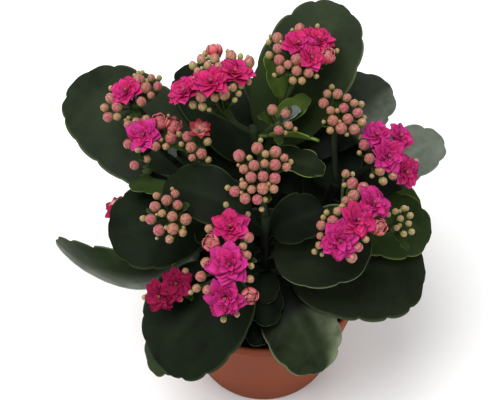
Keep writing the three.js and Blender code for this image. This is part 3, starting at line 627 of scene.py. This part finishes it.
heads = {
    "headUpperLeft": {
        "stem": "left", "z": 141, "face": (-65, 42, 170), "facing": (-0.3, -0.2, 1),
        "blooms": [(-2, 4, 7.4)],
        "plump": [(5, 9), (8.5, 6), (13, 6), (6, -2), (-10, 0), (-7, -4.5), (-11.5, -9)],
        "young": [(10.5, 10), (10.5, 1.5), (-13, -5), (-6.5, -9)]},
    "headLeft": {
        "stem": "left", "z": 135, "face": (-56, 24, 165), "facing": (-0.2, -0.3, 1),
        "blooms": [(-2, 0, 7.8)], "opening": [(7, 7), (12, 5.5)],
        "plump": [(-10, -4.5), (4, -5), (11.5, -2)],
        "young": [(-10, 5.5), (-6, 6.5), (-1, 8), (-4.5, -7), (8.5, -5.5)]},
    "headInnerLeft": {
        "stem": "left", "z": 144, "face": (-32, 19, 166), "facing": (0, -0.2, 1), "petals": "star",
        "blooms": [(1, 5.5, 5.4)], "plump": [(-4.5, 3), (-3.5, -1.5), (2, -5.5)],
        "young": [(5, 0.5), (-2.5, -7.5)]},
    "headBackLeft": {
        "stem": "back", "z": 152, "face": (-25, 40, 196), "facing": (-0.1, 0.3, 1), "fan": 0.3,
        "blooms": [(-12.7, -10, 8), (-0.7, -6, 8), (11.3, -1, 8.4)], "opening": [(1, 9)],
        "plump": [(2, 4.5), (10, 6.8), (-4.7, 3.6), (-6.4, -9.2), (5.6, -7.5), (14, 2.3)],
        "young": [(-8.2, 1.9), (-6, -1.2), (-2, -1.7), (2.9, 1.4), (9.1, -7), (-6.4, -13.2), (1.1, -10.6),
                  (-9.6, -15.9), (13.6, -3.5)],
        "tiny": [(12.7, 5), (12.7, -6.5), (11.8, -9)]},
    "headBack": {
        "stem": "back", "z": 146, "face": (15, 50, 196), "facing": (0, -0.05, 1),
        "blooms": [(8.5, 6, 7.2), (2.5, 4, 7.4), (6, -3, 6.4)], "opening": [(12, 1)],
        "plump": [(1, 10), (-10, 6.5), (-10, 2), (-9.5, -4), (-1.5, -2.5), (-1.5, -9.5), (4.5, -9)],
        "young": [(-13.5, -2), (-4.5, -6), (-8.5, -8), (2.5, -12.5), (-2, -13.5)]},
    "headRear": {
        "stem": "right", "z": 140, "face": (35, 28, 178), "facing": (0.1, -0.35, 1),
        "plump": [(-1, 8.5), (-7.5, 5), (2, 2), (8, -0.5), (-4.5, -3.5), (3.5, -3.5), (0.5, -7.5), (7.5, -8)],
        "young": [(-6, 8), (3.5, 6), (5.5, 4), (-5, -1), (9.5, -4.5), (-5, -8)]},
    "headInner": {
        "stem": "back", "z": 148, "face": (7, 25, 176), "facing": (0.1, -0.4, 1),
        "plump": [(-4, 5), (2.5, 3), (-1, -5.5)], "young": [(4, -3)]},
    "headCentre": {
        "stem": "front", "z": 146, "face": (-2, -15, 190), "facing": (0, -0.4, 1),
        "plump": [(-1, 12), (6, 9.5), (6, 6), (-3.5, 4), (-1.5, -1), (5.5, -1.5), (-5.5, -1), (0, -6.5),
                  (-3.5, -10.5), (-11, 9.5), (-10.5, -7.5), (-7.5, -9.5)],
        "young": [(1.5, 10), (9.5, 7.5), (11, 5), (0.5, 6), (5.5, -6.5), (-5.5, -8), (-8, -4), (-7, 2)]},
    "headFrontLeft": {
        "stem": "left", "z": 123, "face": (-45, -20, 162), "facing": (-0.2, -0.5, 1),
        "plump": [(-1.5, 9), (4.5, 6), (-6.5, 5.5), (1.5, 0.5), (-9, -1), (8.5, -1), (-5, -6.5), (2, -6)],
        "young": [(-5, 9.5), (2.5, 11), (-3, 2), (7, -7.5), (0.5, -10.5)]},
    "headRight": {
        "stem": "right", "z": 132, "face": (58, 14, 165), "facing": (0.35, -0.3, 1),
        "blooms": [(-5.5, 9, 7), (6.5, 8.5, 6.6), (0, -2, 8), (9, -9.5, 7)],
        "plump": [(-9.5, -3), (-3.5, -9.5), (-12, 4)], "young": [(-3, -13), (2.5, -11.5)]},
    "headFrontRight": {
        "stem": "front", "z": 133, "face": (38, -28, 168), "facing": (0.2, -0.4, 1),
        "blooms": [(12, 11, 8), (4, 3, 8), (-5, -7, 8.4)], "opening": [(15, -0.5)],
        "plump": [(2.5, 20.5), (7, 18), (2.5, 15), (-8.5, 3), (-13, 0), (4, -10.5), (1.5, -14.5)],
        "young": [(-0.5, 24), (-2, 12), (-6.5, 6), (-14, -4.5), (-14.5, -9), (7, -7)]},
    "headFarRight": {
        "stem": "right", "z": 131, "face": (64, -13, 146), "facing": (0.3, -0.3, 1),
        "tiny": [(-3, 5.5), (1.5, 7), (4.5, 3.5), (-0.5, 2), (3.5, -0.5), (-2.5, -2.5), (1, -5.5),
                 (5, -4.5)]},
    "headFront": {
        "stem": "front", "z": 128, "face": (-16, -48, 166), "facing": (-0.1, -0.5, 1),
        "blooms": [(-0.5, 18.5, 8.4), (-1, 1, 9), (-3, -15, 8.6)], "opening": [(9, -14.5), (-10, 12)],
        "plump": [(-12, 1.5), (8, 13), (-14.5, -5), (-12, -11.5)],
        "young": [(-10.5, 16.5), (6, 9.5), (7.5, 5.5), (-14.5, -11), (9, -6)]},
    "headLowLeft": {
        "stem": "front", "z": 122, "face": (-47, -36, 124), "facing": (-0.4, -0.7, 1), "petals": "crimson",
        "blooms": [(4.5, 2, 7.4), (-4, -4.5, 7.6)], "young": [(9, 8)]},
    "headFarLeft": {
        "stem": "left", "z": 111, "face": (-75, 14, 117), "facing": (-0.5, -0.2, 1), "petals": "edged",
        "opening": [(0, -0.5)]},
    "headUpperInner": {
        "stem": "left", "z": 131, "face": (-60, 16, 154), "facing": (-0.3, -0.2, 1),
        "plump": [(-3, -1.5)], "young": [(3.5, 1.5)]},
}
bracts = [  # the head whose stalk carries it and how far along, its tip, width, roll and skin
    ("headUpperInner", 0.25, (-66, 15, 134), 12, 0, "fresh"),
    ("headInnerLeft", 0.4, (-40, 33, 153), 8, 0, "fresh"),
    ("headBack", 0.5, (1, 57, 184), 11, 0, "young"),
    ("headInner", 0.4, (21, 40, 171), 13, 0, "young"),
    ("headInner", 0.2, (25, 22, 162), 10, -58, "young"),
    ("headInner", 0.85, (16, 33, 172), 8, 0, "greyed"),
    ("headLeft", 0.6, (-42, 28, 158), 6.5, 0, "greyed"),
]
lean = math.radians(headForm["lean"])  # across is xAxis, rise is along upward, and toward faces the viewer
upward = Vector((0, math.cos(lean), math.sin(lean)))
toward = Vector((0, -math.sin(lean), math.cos(lean)))


def headPlace(spec):
    out = Vector(spec["facing"]).normalized()
    face = Vector(spec["face"])
    return face, out, face - out * headForm["depth"]


def stalkPath(spec):  # from the stem to the joint under the head
    _, out, hub = headPlace(spec)
    start, end = stemPoint(spec["stem"], spec["z"]), hub + out * 0.2
    rise = min(0.45 * (end - start).length, 0.5 * (end.z - start.z) + 3)
    return curved(start, end - out * rise, end, stemForm["stalkSteps"])


def florets(spec):  # those closer than their own widths are moved apart, the buds more than the blooms
    found = [{"across": across, "rise": rise, "radius": radius, "height": radius * headForm["bloomHeight"],
              "room": radius * headForm["bloomRoom"], "give": headForm["bloomGive"], "kind": "bloom"}
             for across, rise, radius in spec.get("blooms", [])]
    for kind, (radius, height) in budSizes.items():
        found += [{"across": across, "rise": rise, "radius": radius, "height": height, "room": radius,
                   "give": 1, "kind": kind} for across, rise in spec.get(kind, [])]
    for _ in range(30):
        for i, a in enumerate(found):
            for b in found[i + 1:]:
                stepAcross, stepRise = b["across"] - a["across"], b["rise"] - a["rise"]
                apart = max(0.1, math.hypot(stepAcross, stepRise))
                push = max(0, a["room"] + b["room"] - apart) / apart / (a["give"] + b["give"]) / 2
                for floret, sign in ((a, -1), (b, 1)):
                    floret["across"] += sign * stepAcross * push * floret["give"]
                    floret["rise"] += sign * stepRise * push * floret["give"]
    return found


def fillers(found, rng):  # the smallest buds, lower down between the others
    small = []
    for _ in range(len(found) * headForm["fillerTries"]):
        near = rng.choice(found)
        turn, size = rng.random() * fullTurn, rng.uniform(*headForm["fillerRadius"])
        away = near["radius"] + size * rng.uniform(0.4, 1.0)
        across, rise = near["across"] + away * math.cos(turn), near["rise"] + away * math.sin(turn)
        reach = lambda other: math.hypot(other["across"] - across, other["rise"] - rise)
        if all(reach(other) > other["radius"] * 0.85 + size * 0.6 for other in found + small):
            small.append({"across": across, "rise": rise, "radius": size, "height": size * 2.4,
                          "kind": "tiny", "sunk": rng.uniform(*headForm["fillerSunk"])})
    return small[:round(len(found) * headForm["fillerShare"])]


def around(side):  # eight points round a thin petal: 1 in front and -1 behind, and the place across
    return (1, -side), (1, 0), (1, side), (0, 1), (-1, side), (-1, 0), (-1, -side), (0, -1)


def addPetal(body, rng, base, axis, a, b, turn, size, layer, skin, warmth):
    _, reach, half, low, mid, high, lift = layer
    outward = turned(a, b, turn)
    sideways = b * math.cos(turn) - a * math.sin(turn)
    reach, half, throat = reach * size, half * size, petalForm["throat"] * size
    reach *= rng.uniform(*petalForm["reachVariety"])
    half *= rng.uniform(*petalForm["widthVariety"])
    tilt = math.radians(rng.uniform(-petalForm["tilt"], petalForm["tilt"]))
    rise = [math.radians(v) + tilt for v in (low, mid, high)]
    rows = petalForm["rows"]
    angle = lambda u: rise[0] * (1 - u) ** 2 + rise[1] * 2 * u * (1 - u) + rise[2] * u * u
    level = sum(math.cos(angle((k + 0.5) / rows)) for k in range(rows)) / rows
    sweep = sum(math.sin(angle((k + 0.5) / rows)) for k in range(rows)) / rows
    length = (reach - throat) / max(level, 0.35) if level > sweep * 0.4 else reach / sweep
    spot = base + outward * throat + axis * (lift * size)
    twist = rng.choice((-1, 1, 1)) * rng.uniform(*petalForm["twist"])
    curl = rng.uniform(*petalForm["curl"]) * petalForm["cup"]
    claw, point = petalForm["claw"], petalForm["point"]
    fullest = claw / (claw + point)
    rings, shares = [], [(k - 0.5) / rows for k in range(1, rows + 1)]
    for u in shares:
        along = outward * math.cos(angle(u)) + axis * math.sin(angle(u))
        normal = axis * math.cos(angle(u)) - outward * math.sin(angle(u))
        spot = spot + along * (length / rows)
        width = half * ((u / fullest) ** claw * ((1 - u) / (1 - fullest)) ** point)
        thick = petalForm["thickness"] / 2 * (1 - 0.5 * u)
        ring = []
        for face, v in around(0.55):
            height = face * thick + curl * v * v * half + v * width * twist
            height -= petalForm["groove"] * size if v == 0 else 0
            ring.append(spot + sideways * (v * width) + normal * height)
        rings.append(ring)
    first = base + axis * (lift * size)
    addLoft(body, rings, first, spot + along * (length / rows * 0.5), skin, alongShare=shares,
            tone=rng.random(), warmth=warmth)


def addFoldedPetal(body, rng, base, axis, a, b, turn, radius, height, depth):  # still folded round its bud
    reach = radius * (0.98 - 0.22 * depth)
    rows = petalForm["foldedRows"]
    flare = rng.uniform(*petalForm["foldedFlare"])
    tall = height * (0.86 + 0.05 * depth) * rng.uniform(0.93, 1)
    rings, shares = [], [k / (rows + 1) for k in range(1, rows + 1)]
    for u in shares:
        girth = reach * (0.35 + 0.68 * math.sin(math.pi * min(1, u * 0.95)) ** 0.7)
        girth += reach * 0.35 * flare * ease(0.75, 1, u)
        half = petalForm["foldedSpread"] * (u ** 0.5) * (1 - u ** 3.5)
        ring = []
        for face, v in around(0.6):
            away = girth + face * 0.17 + 0.25 * v
            ring.append(base + axis * (tall * (0.08 + 0.92 * u)) + turned(a, b, turn + v * half) * away)
        rings.append(ring)
    tip = rings[-1][1].lerp(rings[-1][5], 0.5) + axis * (tall * 0.07)
    start = rings[0][1].lerp(rings[0][5], 0.5) - axis * (tall * 0.05)
    addLoft(body, rings, start, tip, skinAt["opening"], alongShare=shares, tone=rng.random())


def addBud(body, rng, base, axis, radius, height, ripe):  # its petals are rolled one over the next to the tip
    a, b = squareTo(axis)
    twist, spin, folds = rng.uniform(*budForm["twist"]), rng.random() * 7, rng.choice(budForm["folds"])
    rings, creases = [], [0.0]
    for share, rise in budForm["profile"]:
        deep = ease(0.35, 0.85, rise)
        ring = []
        for j in range(budForm["sides"]):
            turn = fullTurn * j / budForm["sides"]
            phase = (folds * (turn - twist * rise) + spin) / fullTurn % 1
            crease = math.exp(-(min(phase, 1 - phase) / budForm["foldWidth"]) ** 2)  # a petal's edge
            # a paler strip beside each fold, for a painted highlight
            pale = math.exp(-((phase - 0.22) / 0.1) ** 2)
            reach = radius * share * (1 - deep * (budForm["foldDepth"] * crease - 0.07 * (1 - phase)))
            ring.append(base + axis * (height * rise) + turned(a, b, turn) * reach)
            # the mark is above nought in the folds, for painted shade, and below nought beside them, for the
            # painted highlight
            creases.append((crease - 0.8 * pale) * ease(0.2, 0.6, rise))
        rings.append(ring)
    addLoft(body, rings, base, base + axis * height, skinAt["bud"],
            alongShare=[rise for _, rise in budForm["profile"]], tone=ripe, crease=creases + [0.6])


def addCalyx(body, rng, base, axis, radius, height):  # a cup with four points that hold the flower
    a, b = squareTo(axis)
    spin = rng.random() * 7
    rings = []
    for share, low, high in calyxProfile:
        ring = []
        for j in range(budForm["calyxSides"]):
            turn = fullTurn * j / budForm["calyxSides"]
            rise = (low + (high - low) * abs(math.cos(2 * turn + spin)) ** 1.5) * height
            ring.append(base + axis * rise + turned(a, b, turn) * (radius * share))
        rings.append(ring)
    addLoft(body, rings, base - axis * (0.14 * height), base + axis * (0.1 * height), skinAt["calyx"],
            alongShare=[0, 0.1, 0.4, 1, 1, 0.4], tone=rng.random())


def addFloret(body, rng, spec, floret, seat, joint, out):
    axis = ((seat - joint).normalized() + out * headForm["upright"]).normalized()
    radius, height, kind = floret["radius"], floret["height"], floret["kind"]
    base = seat - axis * (0.8 * height)
    start = joint + (base - joint).normalized() * 1.2
    if "fan" in spec:  # the stalks part low on the main stalk
        start = alongPath(stalkPath(spec), spec["fan"] + 0.03 * abs(floret["across"]))
    bend, steps = base - axis * (0.45 * (base - start).length), headForm["stalkSteps"]
    radii = [headForm["stalkRadius"] * (1 + 0.5 * ease(0.7, 1, i / steps)) for i in range(steps + 1)]
    addTube(body, curved(start, bend, base - axis * (0.1 * height), steps), radii, headForm["stalkSides"],
            skinAt["calyx"], alongShare=0.2, tone=rng.random())
    a, b = squareTo(axis)
    if kind in budRipeness:
        size = rng.uniform(*budForm["sizeVariety"])
        top = base + axis * (height * (0.96 - size))
        addBud(body, rng, top, axis, radius * size, height * size, rng.uniform(*budRipeness[kind]))
        addCalyx(body, rng, top, axis, radius * size * 0.96, height * size)
        return
    style = spec.get("petals", "double")
    if kind == "opening" and style == "double":
        style = "opening"
        addBud(body, rng, base, axis, radius * 0.82, height * 0.86, 0.9)
        addCalyx(body, rng, base, axis, radius * 0.8, height * 0.9)
    else:
        base -= axis * (0.06 * radius)
        addCalyx(body, rng, base - axis * 1.2, axis, 1.9, radius * 0.9)
    size = radius * petalForm["edgedSize"] if style == "edged" else radius
    warmth = rng.random()
    for depth, layer in enumerate(petalLayers[style]):
        shift = rng.random() * 7
        for k in range(layer[0]):
            turn = fullTurn * (k + rng.uniform(-petalForm["shift"], petalForm["shift"])) / layer[0] + shift
            if style == "opening":
                addFoldedPetal(body, rng, base, axis, a, b, turn, radius, height, depth)
                continue
            if style in ("star", "edged"):  # a star's outer petals, or every other one, are of the first set
                warmth = min(depth, 1) if style == "star" else k % 2
            addPetal(body, rng, base, axis, a, b, turn, size, layer, skinAt[style], warmth)
    if kind == "bloom":
        for k in range(petalForm["anthers"]):  # in the throat
            spot = base + axis * (0.42 * radius) + turned(a, b, fullTurn * k / petalForm["anthers"]) * 0.45
            addTube(body, [spot - axis * 1.2, spot - axis * 0.4, spot, spot + axis * 0.35],
                    petalForm["antherRadii"], 6, skinAt["anther"], alongShare=1.0, tone=0.5)


# Calyx and stalks: soft green skin, satin. Buds: waxy skin that ripens from green to salmon, with small
# bright lights, painted shade in the folds and a painted highlight beside each fold. Petals: soft and thin
# with a velvety cast, deep pink with painted shade in the throat and a painted highlight at the edges, or red
# over a pale throat while they open. Anthers: dry pollen, dull and grainy.
floretColours = {
    "stalk": "#1f2a12", "stalkPale": "#4c5a2a",
    "budGreen": "#7d8845", "budPeach": "#a7805e", "budSalmon": "#a15c5c", "budTip": "#923c48",
    # on buds, the fold colour is painted shade in the folds and the rim colour a painted highlight beside
    # them
    "budFold": "#74302f", "budEdgeHighlight": "#d2a29a",
    # the deep throat colours paint shade in the flower's middle, the edge colours a painted highlight on the
    # petals' edges
    "petal": "#9b1855", "petalThroatShade": "#780e3c", "petalEdgeHighlight": "#ae2c76", "petalWarm": "#a11348",
    "warmEdgeHighlight": "#b52a5c", "red": "#a83640", "redPale": "#bb6a6c", "paleRay": "#d6aaa4",
    "rayPink": "#c47a74", "crimson": "#7c1238", "crimsonThroatShade": "#520a24",
    "anther": "#9a7a48", "antherDark": "#7c5230",
}


def waxyCalyx():
    material, tree, shader, here, share = startMaterial("waxyCalyx", {
        "Roughness": 0.5, "IOR": 1.42, "Specular IOR Level": 0.3}, "alongShare")
    colour = addNode(tree, "Mix", {6: floretColours["stalk"], 7: floretColours["stalkPale"]}, {0: share})
    cells = addNode(tree, "TexNoise", {"Scale": 900, "Detail": 2}, here)  # cells, drawn at 1 mm to show
    bump = addNode(tree, "Bump", {"Strength": 0.15, "Distance": 0.3 * mm}, {"Height": cells})
    feed(tree, shader, {"Base Color": colour, "Normal": bump})
    return material


def waxyBud():
    material, tree, shader, here, share, tone, crease = startMaterial("waxyBud", {
        "Roughness": 0.3, "IOR": 1.42, "Specular IOR Level": 0.45, "Subsurface Weight": 0.08,
        "Subsurface Scale": 2 * mm}, "alongShare", "tone", "crease")
    cloud = addNode(tree, "TexNoise", {"Scale": 420, "Detail": 3}, here)  # mottling of 2.4 mm
    uneven = addNode(tree, "Math", {"operation": "MULTIPLY_ADD", 1: 0.3}, {0: cloud, 2: share})
    shifted = addNode(tree, "Math", {"operation": "SUBTRACT", 1: 0.15}, {0: uneven})
    green, peach, salmon, tip = (floretColours["bud" + name] for name in ("Green", "Peach", "Salmon", "Tip"))
    ripe = addNode(tree, "ValToRGB", {"stops": [(0.12, green), (0.3, peach), (0.5, salmon), (1, tip)]},
                   {"Fac": shifted})
    unripe = addNode(tree, "ValToRGB", {"stops": [(0.6, green), (1, peach)]}, {"Fac": shifted})
    colour = addNode(tree, "Mix", None, {0: tone, 6: unripe, 7: ripe})
    # painted highlight: a paler strip beside each fold
    light = addNode(tree, "MapRange", {"From Max": -1, "To Max": 0.28}, {"Value": crease})
    colour = addNode(tree, "Mix", {7: floretColours["budEdgeHighlight"]}, {0: light, 6: colour})
    # painted shade: the folds darker
    dark = addNode(tree, "Math", {"operation": "MULTIPLY", 1: 0.8, "use_clamp": True}, {0: crease})
    colour = addNode(tree, "Mix", {7: floretColours["budFold"]}, {0: dark, 6: colour})
    bump = addNode(tree, "Bump", {"Strength": 0.15, "Distance": 0.4 * mm}, {"Height": cloud})
    feed(tree, shader, {"Base Color": colour, "Normal": bump})
    return material


def softPetal(name, cool, warm, throatEnd=0.25):  # each set: the colours of throat, blade and edge; a deep throat colour is painted shade and a paler edge a painted highlight
    material, tree, shader, here, share, tone, warmth = startMaterial(name, {
        "Roughness": 0.6, "IOR": 1.38, "Specular IOR Level": 0.08, "Subsurface Weight": 0.1,
        "Subsurface Scale": 1.5 * mm}, "alongShare", "tone", "warmth")
    cloud = addNode(tree, "TexNoise", {"Scale": 500, "Detail": 3}, here)  # mottling of 2 mm
    uneven = addNode(tree, "Math", {"operation": "MULTIPLY_ADD", 1: 0.35}, {0: cloud, 2: share})
    places = (throatEnd, throatEnd + 0.37, 1)
    ramps = [addNode(tree, "ValToRGB", {"stops": list(zip(places, (floretColours[part] for part in parts)))},
                     {"Fac": uneven}) for parts in (cool, warm)]
    patches = addNode(tree, "TexNoise", {"Scale": 150, "Detail": 2}, here)  # of 7 mm, redder or more purple
    spread = addNode(tree, "MapRange", {"From Min": 0.35, "From Max": 0.65, "To Min": -0.35, "To Max": 0.35},
                     {"Value": patches})
    mixed = addNode(tree, "Math", {"operation": "ADD", "use_clamp": True}, {0: warmth, 1: spread})
    colour = addNode(tree, "Mix", None, {0: mixed, 6: ramps[0], 7: ramps[1]})
    shade = addNode(tree, "MapRange", {"To Min": 0.8, "To Max": 1.12}, {"Value": tone})
    varied = addNode(tree, "HueSaturation", None, {"Value": shade, "Color": colour})
    bump = addNode(tree, "Bump", {"Strength": 0.2, "Distance": 0.3 * mm}, {"Height": cloud})
    feed(tree, shader, {"Base Color": varied, "Normal": bump})
    return material


def dustyAnther():
    material, tree, shader, here = startMaterial("dustyAnther", {"Roughness": 0.8})
    grains = addNode(tree, "TexNoise", {"Scale": 3000, "Detail": 2}, here)  # of 0.3 mm
    stops = [(0.3, floretColours["antherDark"]), (0.7, floretColours["anther"])]
    colour = addNode(tree, "ValToRGB", {"stops": stops}, {"Fac": grains})
    feed(tree, shader, {"Base Color": colour})
    return material


floretSkins = {
    "calyx": waxyCalyx(), "bud": waxyBud(),
    "double": softPetal("velvetPetal", ("petalThroatShade", "petal", "petalEdgeHighlight"),
                        ("petalThroatShade", "petalWarm", "warmEdgeHighlight")),
    "opening": softPetal("openingPetal", ("red", "red", "redPale"), ("red", "redPale", "redPale")),
    "crimson": softPetal("crimsonPetal", ("crimsonThroatShade", "crimson", "crimson"),
                         ("crimsonThroatShade", "crimson", "crimson")),
    "anther": dustyAnther(),
    "star": softPetal("starPetal", ("rayPink", "red", "red"), ("paleRay", "rayPink", "red"), 0.4),
    "edged": softPetal("edgedPetal", ("crimsonThroatShade", "crimson", "petalWarm"),
                       ("paleRay", "paleRay", "crimson"), 0.35),
}
skinAt = {name: index for index, name in enumerate(floretSkins)}


def makeHead(name, spec, rng):
    face, out, hub = headPlace(spec)
    radius = headForm["hubRadius"]
    body = startBody("tone", "crease", "warmth", *leafMarks)
    a, b = squareTo(out)
    rings = [circle(hub + out * (radius * rise), a, b, radius * share, headForm["hubSides"])
             for share, rise in headForm["hub"]]
    addLoft(body, rings, hub, hub + out * (radius * 1.9), skinAt["calyx"], alongShare=0.3, tone=0.5)
    found = florets(spec)
    many = len(found) > 2
    for floret in found + (fillers(found, rng) if many else []):
        flat = xAxis * floret["across"] + upward * floret["rise"]
        flat += toward * (-out.dot(flat) / out.dot(toward))
        seat = face + flat - toward * (flat.length_squared / (2 * headForm["dome"]) / out.dot(toward))
        seat -= out * floret.get("sunk", 0)
        addFloret(body, rng, spec, floret, seat, hub + out * radius, out)
    start = rng.random() * fullTurn
    for k in range(headForm["bracts"] if many else 0):  # narrow leaves that stand round the joint
        outward = turned(a, b, start + fullTurn * k / headForm["bracts"] + rng.uniform(-0.4, 0.4))
        tip = hub + outward * rng.uniform(*headForm["bractReach"]) + out * rng.uniform(*headForm["bractRise"])
        addBlade(body, rng, hub + outward + out * 1.5, tip, headForm["bractWidth"] * rng.uniform(0.8, 1.2),
                 1, 1, 0, len(floretSkins), wave=0.2, plump=0.55)
    finishBody(name.replace("head", "florets"), body, [*floretSkins.values(), leafMaterials["fresh"]], name)


for index, (name, spec) in enumerate(heads.items()):
    makeHead(name, spec, random.Random(headForm["seed"] + index))
print("flower heads made:", len(heads))


stemSkin = waxedStem()


def makeStem(name, rng):
    body = startBody(*leafMarks)
    steps = stemForm["steps"]
    path = [stemSpot(stemPoints[name], i / steps) for i in range(steps + 1)]
    joints = [z for stem, z, *_ in leaves.values() if stem == name]
    joints += [spec["z"] for spec in heads.values() if spec["stem"] == name]
    radii = []
    for i, p in enumerate(path):  # thicker where a leaf or a head grows from it
        swell = sum(math.exp(-((p.z - z) / stemForm["swellLength"]) ** 2) for z in joints)
        radius = stemForm["radius"] * (1 - stemForm["taper"] * i / steps)
        radii.append(radius + stemForm["swell"] * min(1, swell))
    addTube(body, path, radii, stemForm["sides"])
    skins = [stemSkin]
    for head, spec in heads.items():
        if spec["stem"] != name:
            continue
        stalk, steps = stalkPath(spec), stemForm["stalkSteps"]
        radii = [stemForm["stalkRadius"] * (1.2 - 0.2 * i / steps) for i in range(steps + 1)]
        addTube(body, stalk, radii, stemForm["stalkSides"])
        for owner, share, tip, width, roll, kind in bracts:
            if owner == head:
                skins.append(leafMaterials[kind])
                addBlade(body, rng, alongPath(stalk, share), Vector(tip), width, 2, 1, roll, len(skins) - 1,
                         wave=0.2)
    finishBody(name + "Stem", body, skins, "stem_" + name)


for index, name in enumerate(stemPoints):
    makeStem(name, random.Random(stemForm["seed"] + index))
print("stems made:", len(stemPoints))


# Studio: a matt painted white floor, soft lights and the camera

studio = {
    "floorColour": "#f6f6f6", "floorShade": "#f0f0f0", "floorHalf": 4000, "floorGap": 0.4,
    "world": 0.5, "worldColour": "#ffffff", "cameraPlace": (-7.4, -370.9, 738.1),
    "cameraTarget": (-7.4, 0, 144.5), "lens": 106.6, "sensor": 36,
}
lights = {  # place in mm, aims at the plant; width in mm, power in watts
    "overheadSoftbox": ((-300, 0, 1300), 1000, 17),
    "rightSoftbox": ((1000, -500, 700), 800, 4),
    "leftSoftbox": ((-1000, -300, 600), 800, 4),
    "rearSoftbox": ((200, 1100, 800), 900, 3),
}


def paintedFloor():
    material, tree, shader, here = startMaterial("paintedFloor", {
        "Roughness": 0.7, "Specular IOR Level": 0.2})
    cloud = addNode(tree, "TexNoise", {"Scale": 6, "Detail": 2}, here)  # faint patches of 17 cm
    stops = [(0.3, studio["floorShade"]), (0.7, studio["floorColour"])]
    colour = addNode(tree, "ValToRGB", {"stops": stops}, {"Fac": cloud})
    feed(tree, shader, {"Base Color": colour})
    return material


def placeInStudio(name, data, place):  # aimed at the plant
    holder = bpy.data.objects.new(name, data)
    holder.location = Vector(place) * mm
    target = Vector(studio["cameraTarget"]) * mm
    holder.rotation_euler = (target - holder.location).to_track_quat("-Z", "Y").to_euler()
    bpy.context.scene.collection.objects.link(holder)
    return holder


def makeStudio():
    grid = bmesh.new()
    bmesh.ops.create_grid(grid, x_segments=4, y_segments=4, size=studio["floorHalf"] * mm)
    floorMesh = bpy.data.meshes.new("studioFloor")
    grid.to_mesh(floorMesh)
    grid.free()
    floorMesh.materials.append(paintedFloor())
    floorPiece = bpy.data.objects.new("studioFloor", floorMesh)
    floorPiece.location.z = -studio["floorGap"] * mm
    bpy.context.scene.collection.objects.link(floorPiece)
    for name, (place, width, power) in lights.items():
        lamp = bpy.data.lights.new(name, "AREA")
        lamp.shape, lamp.size, lamp.energy = "DISK", width * mm, power
        placeInStudio(name, lamp, place)
    world = bpy.data.worlds.new("studioWorld")
    bpy.context.scene.world = world
    world.use_nodes = True
    background = world.node_tree.nodes["Background"]
    background.inputs["Color"].default_value = linear(studio["worldColour"])
    background.inputs["Strength"].default_value = studio["world"]
    bpy.context.scene.view_settings.view_transform = "Standard"
    camera = bpy.data.cameras.new("camera")
    camera.sensor_fit, camera.sensor_width, camera.lens = "HORIZONTAL", studio["sensor"], studio["lens"]
    camera.clip_start = 10 * mm
    bpy.context.scene.camera = placeInStudio("camera", camera, studio["cameraPlace"])


makeStudio()
print("studio made")
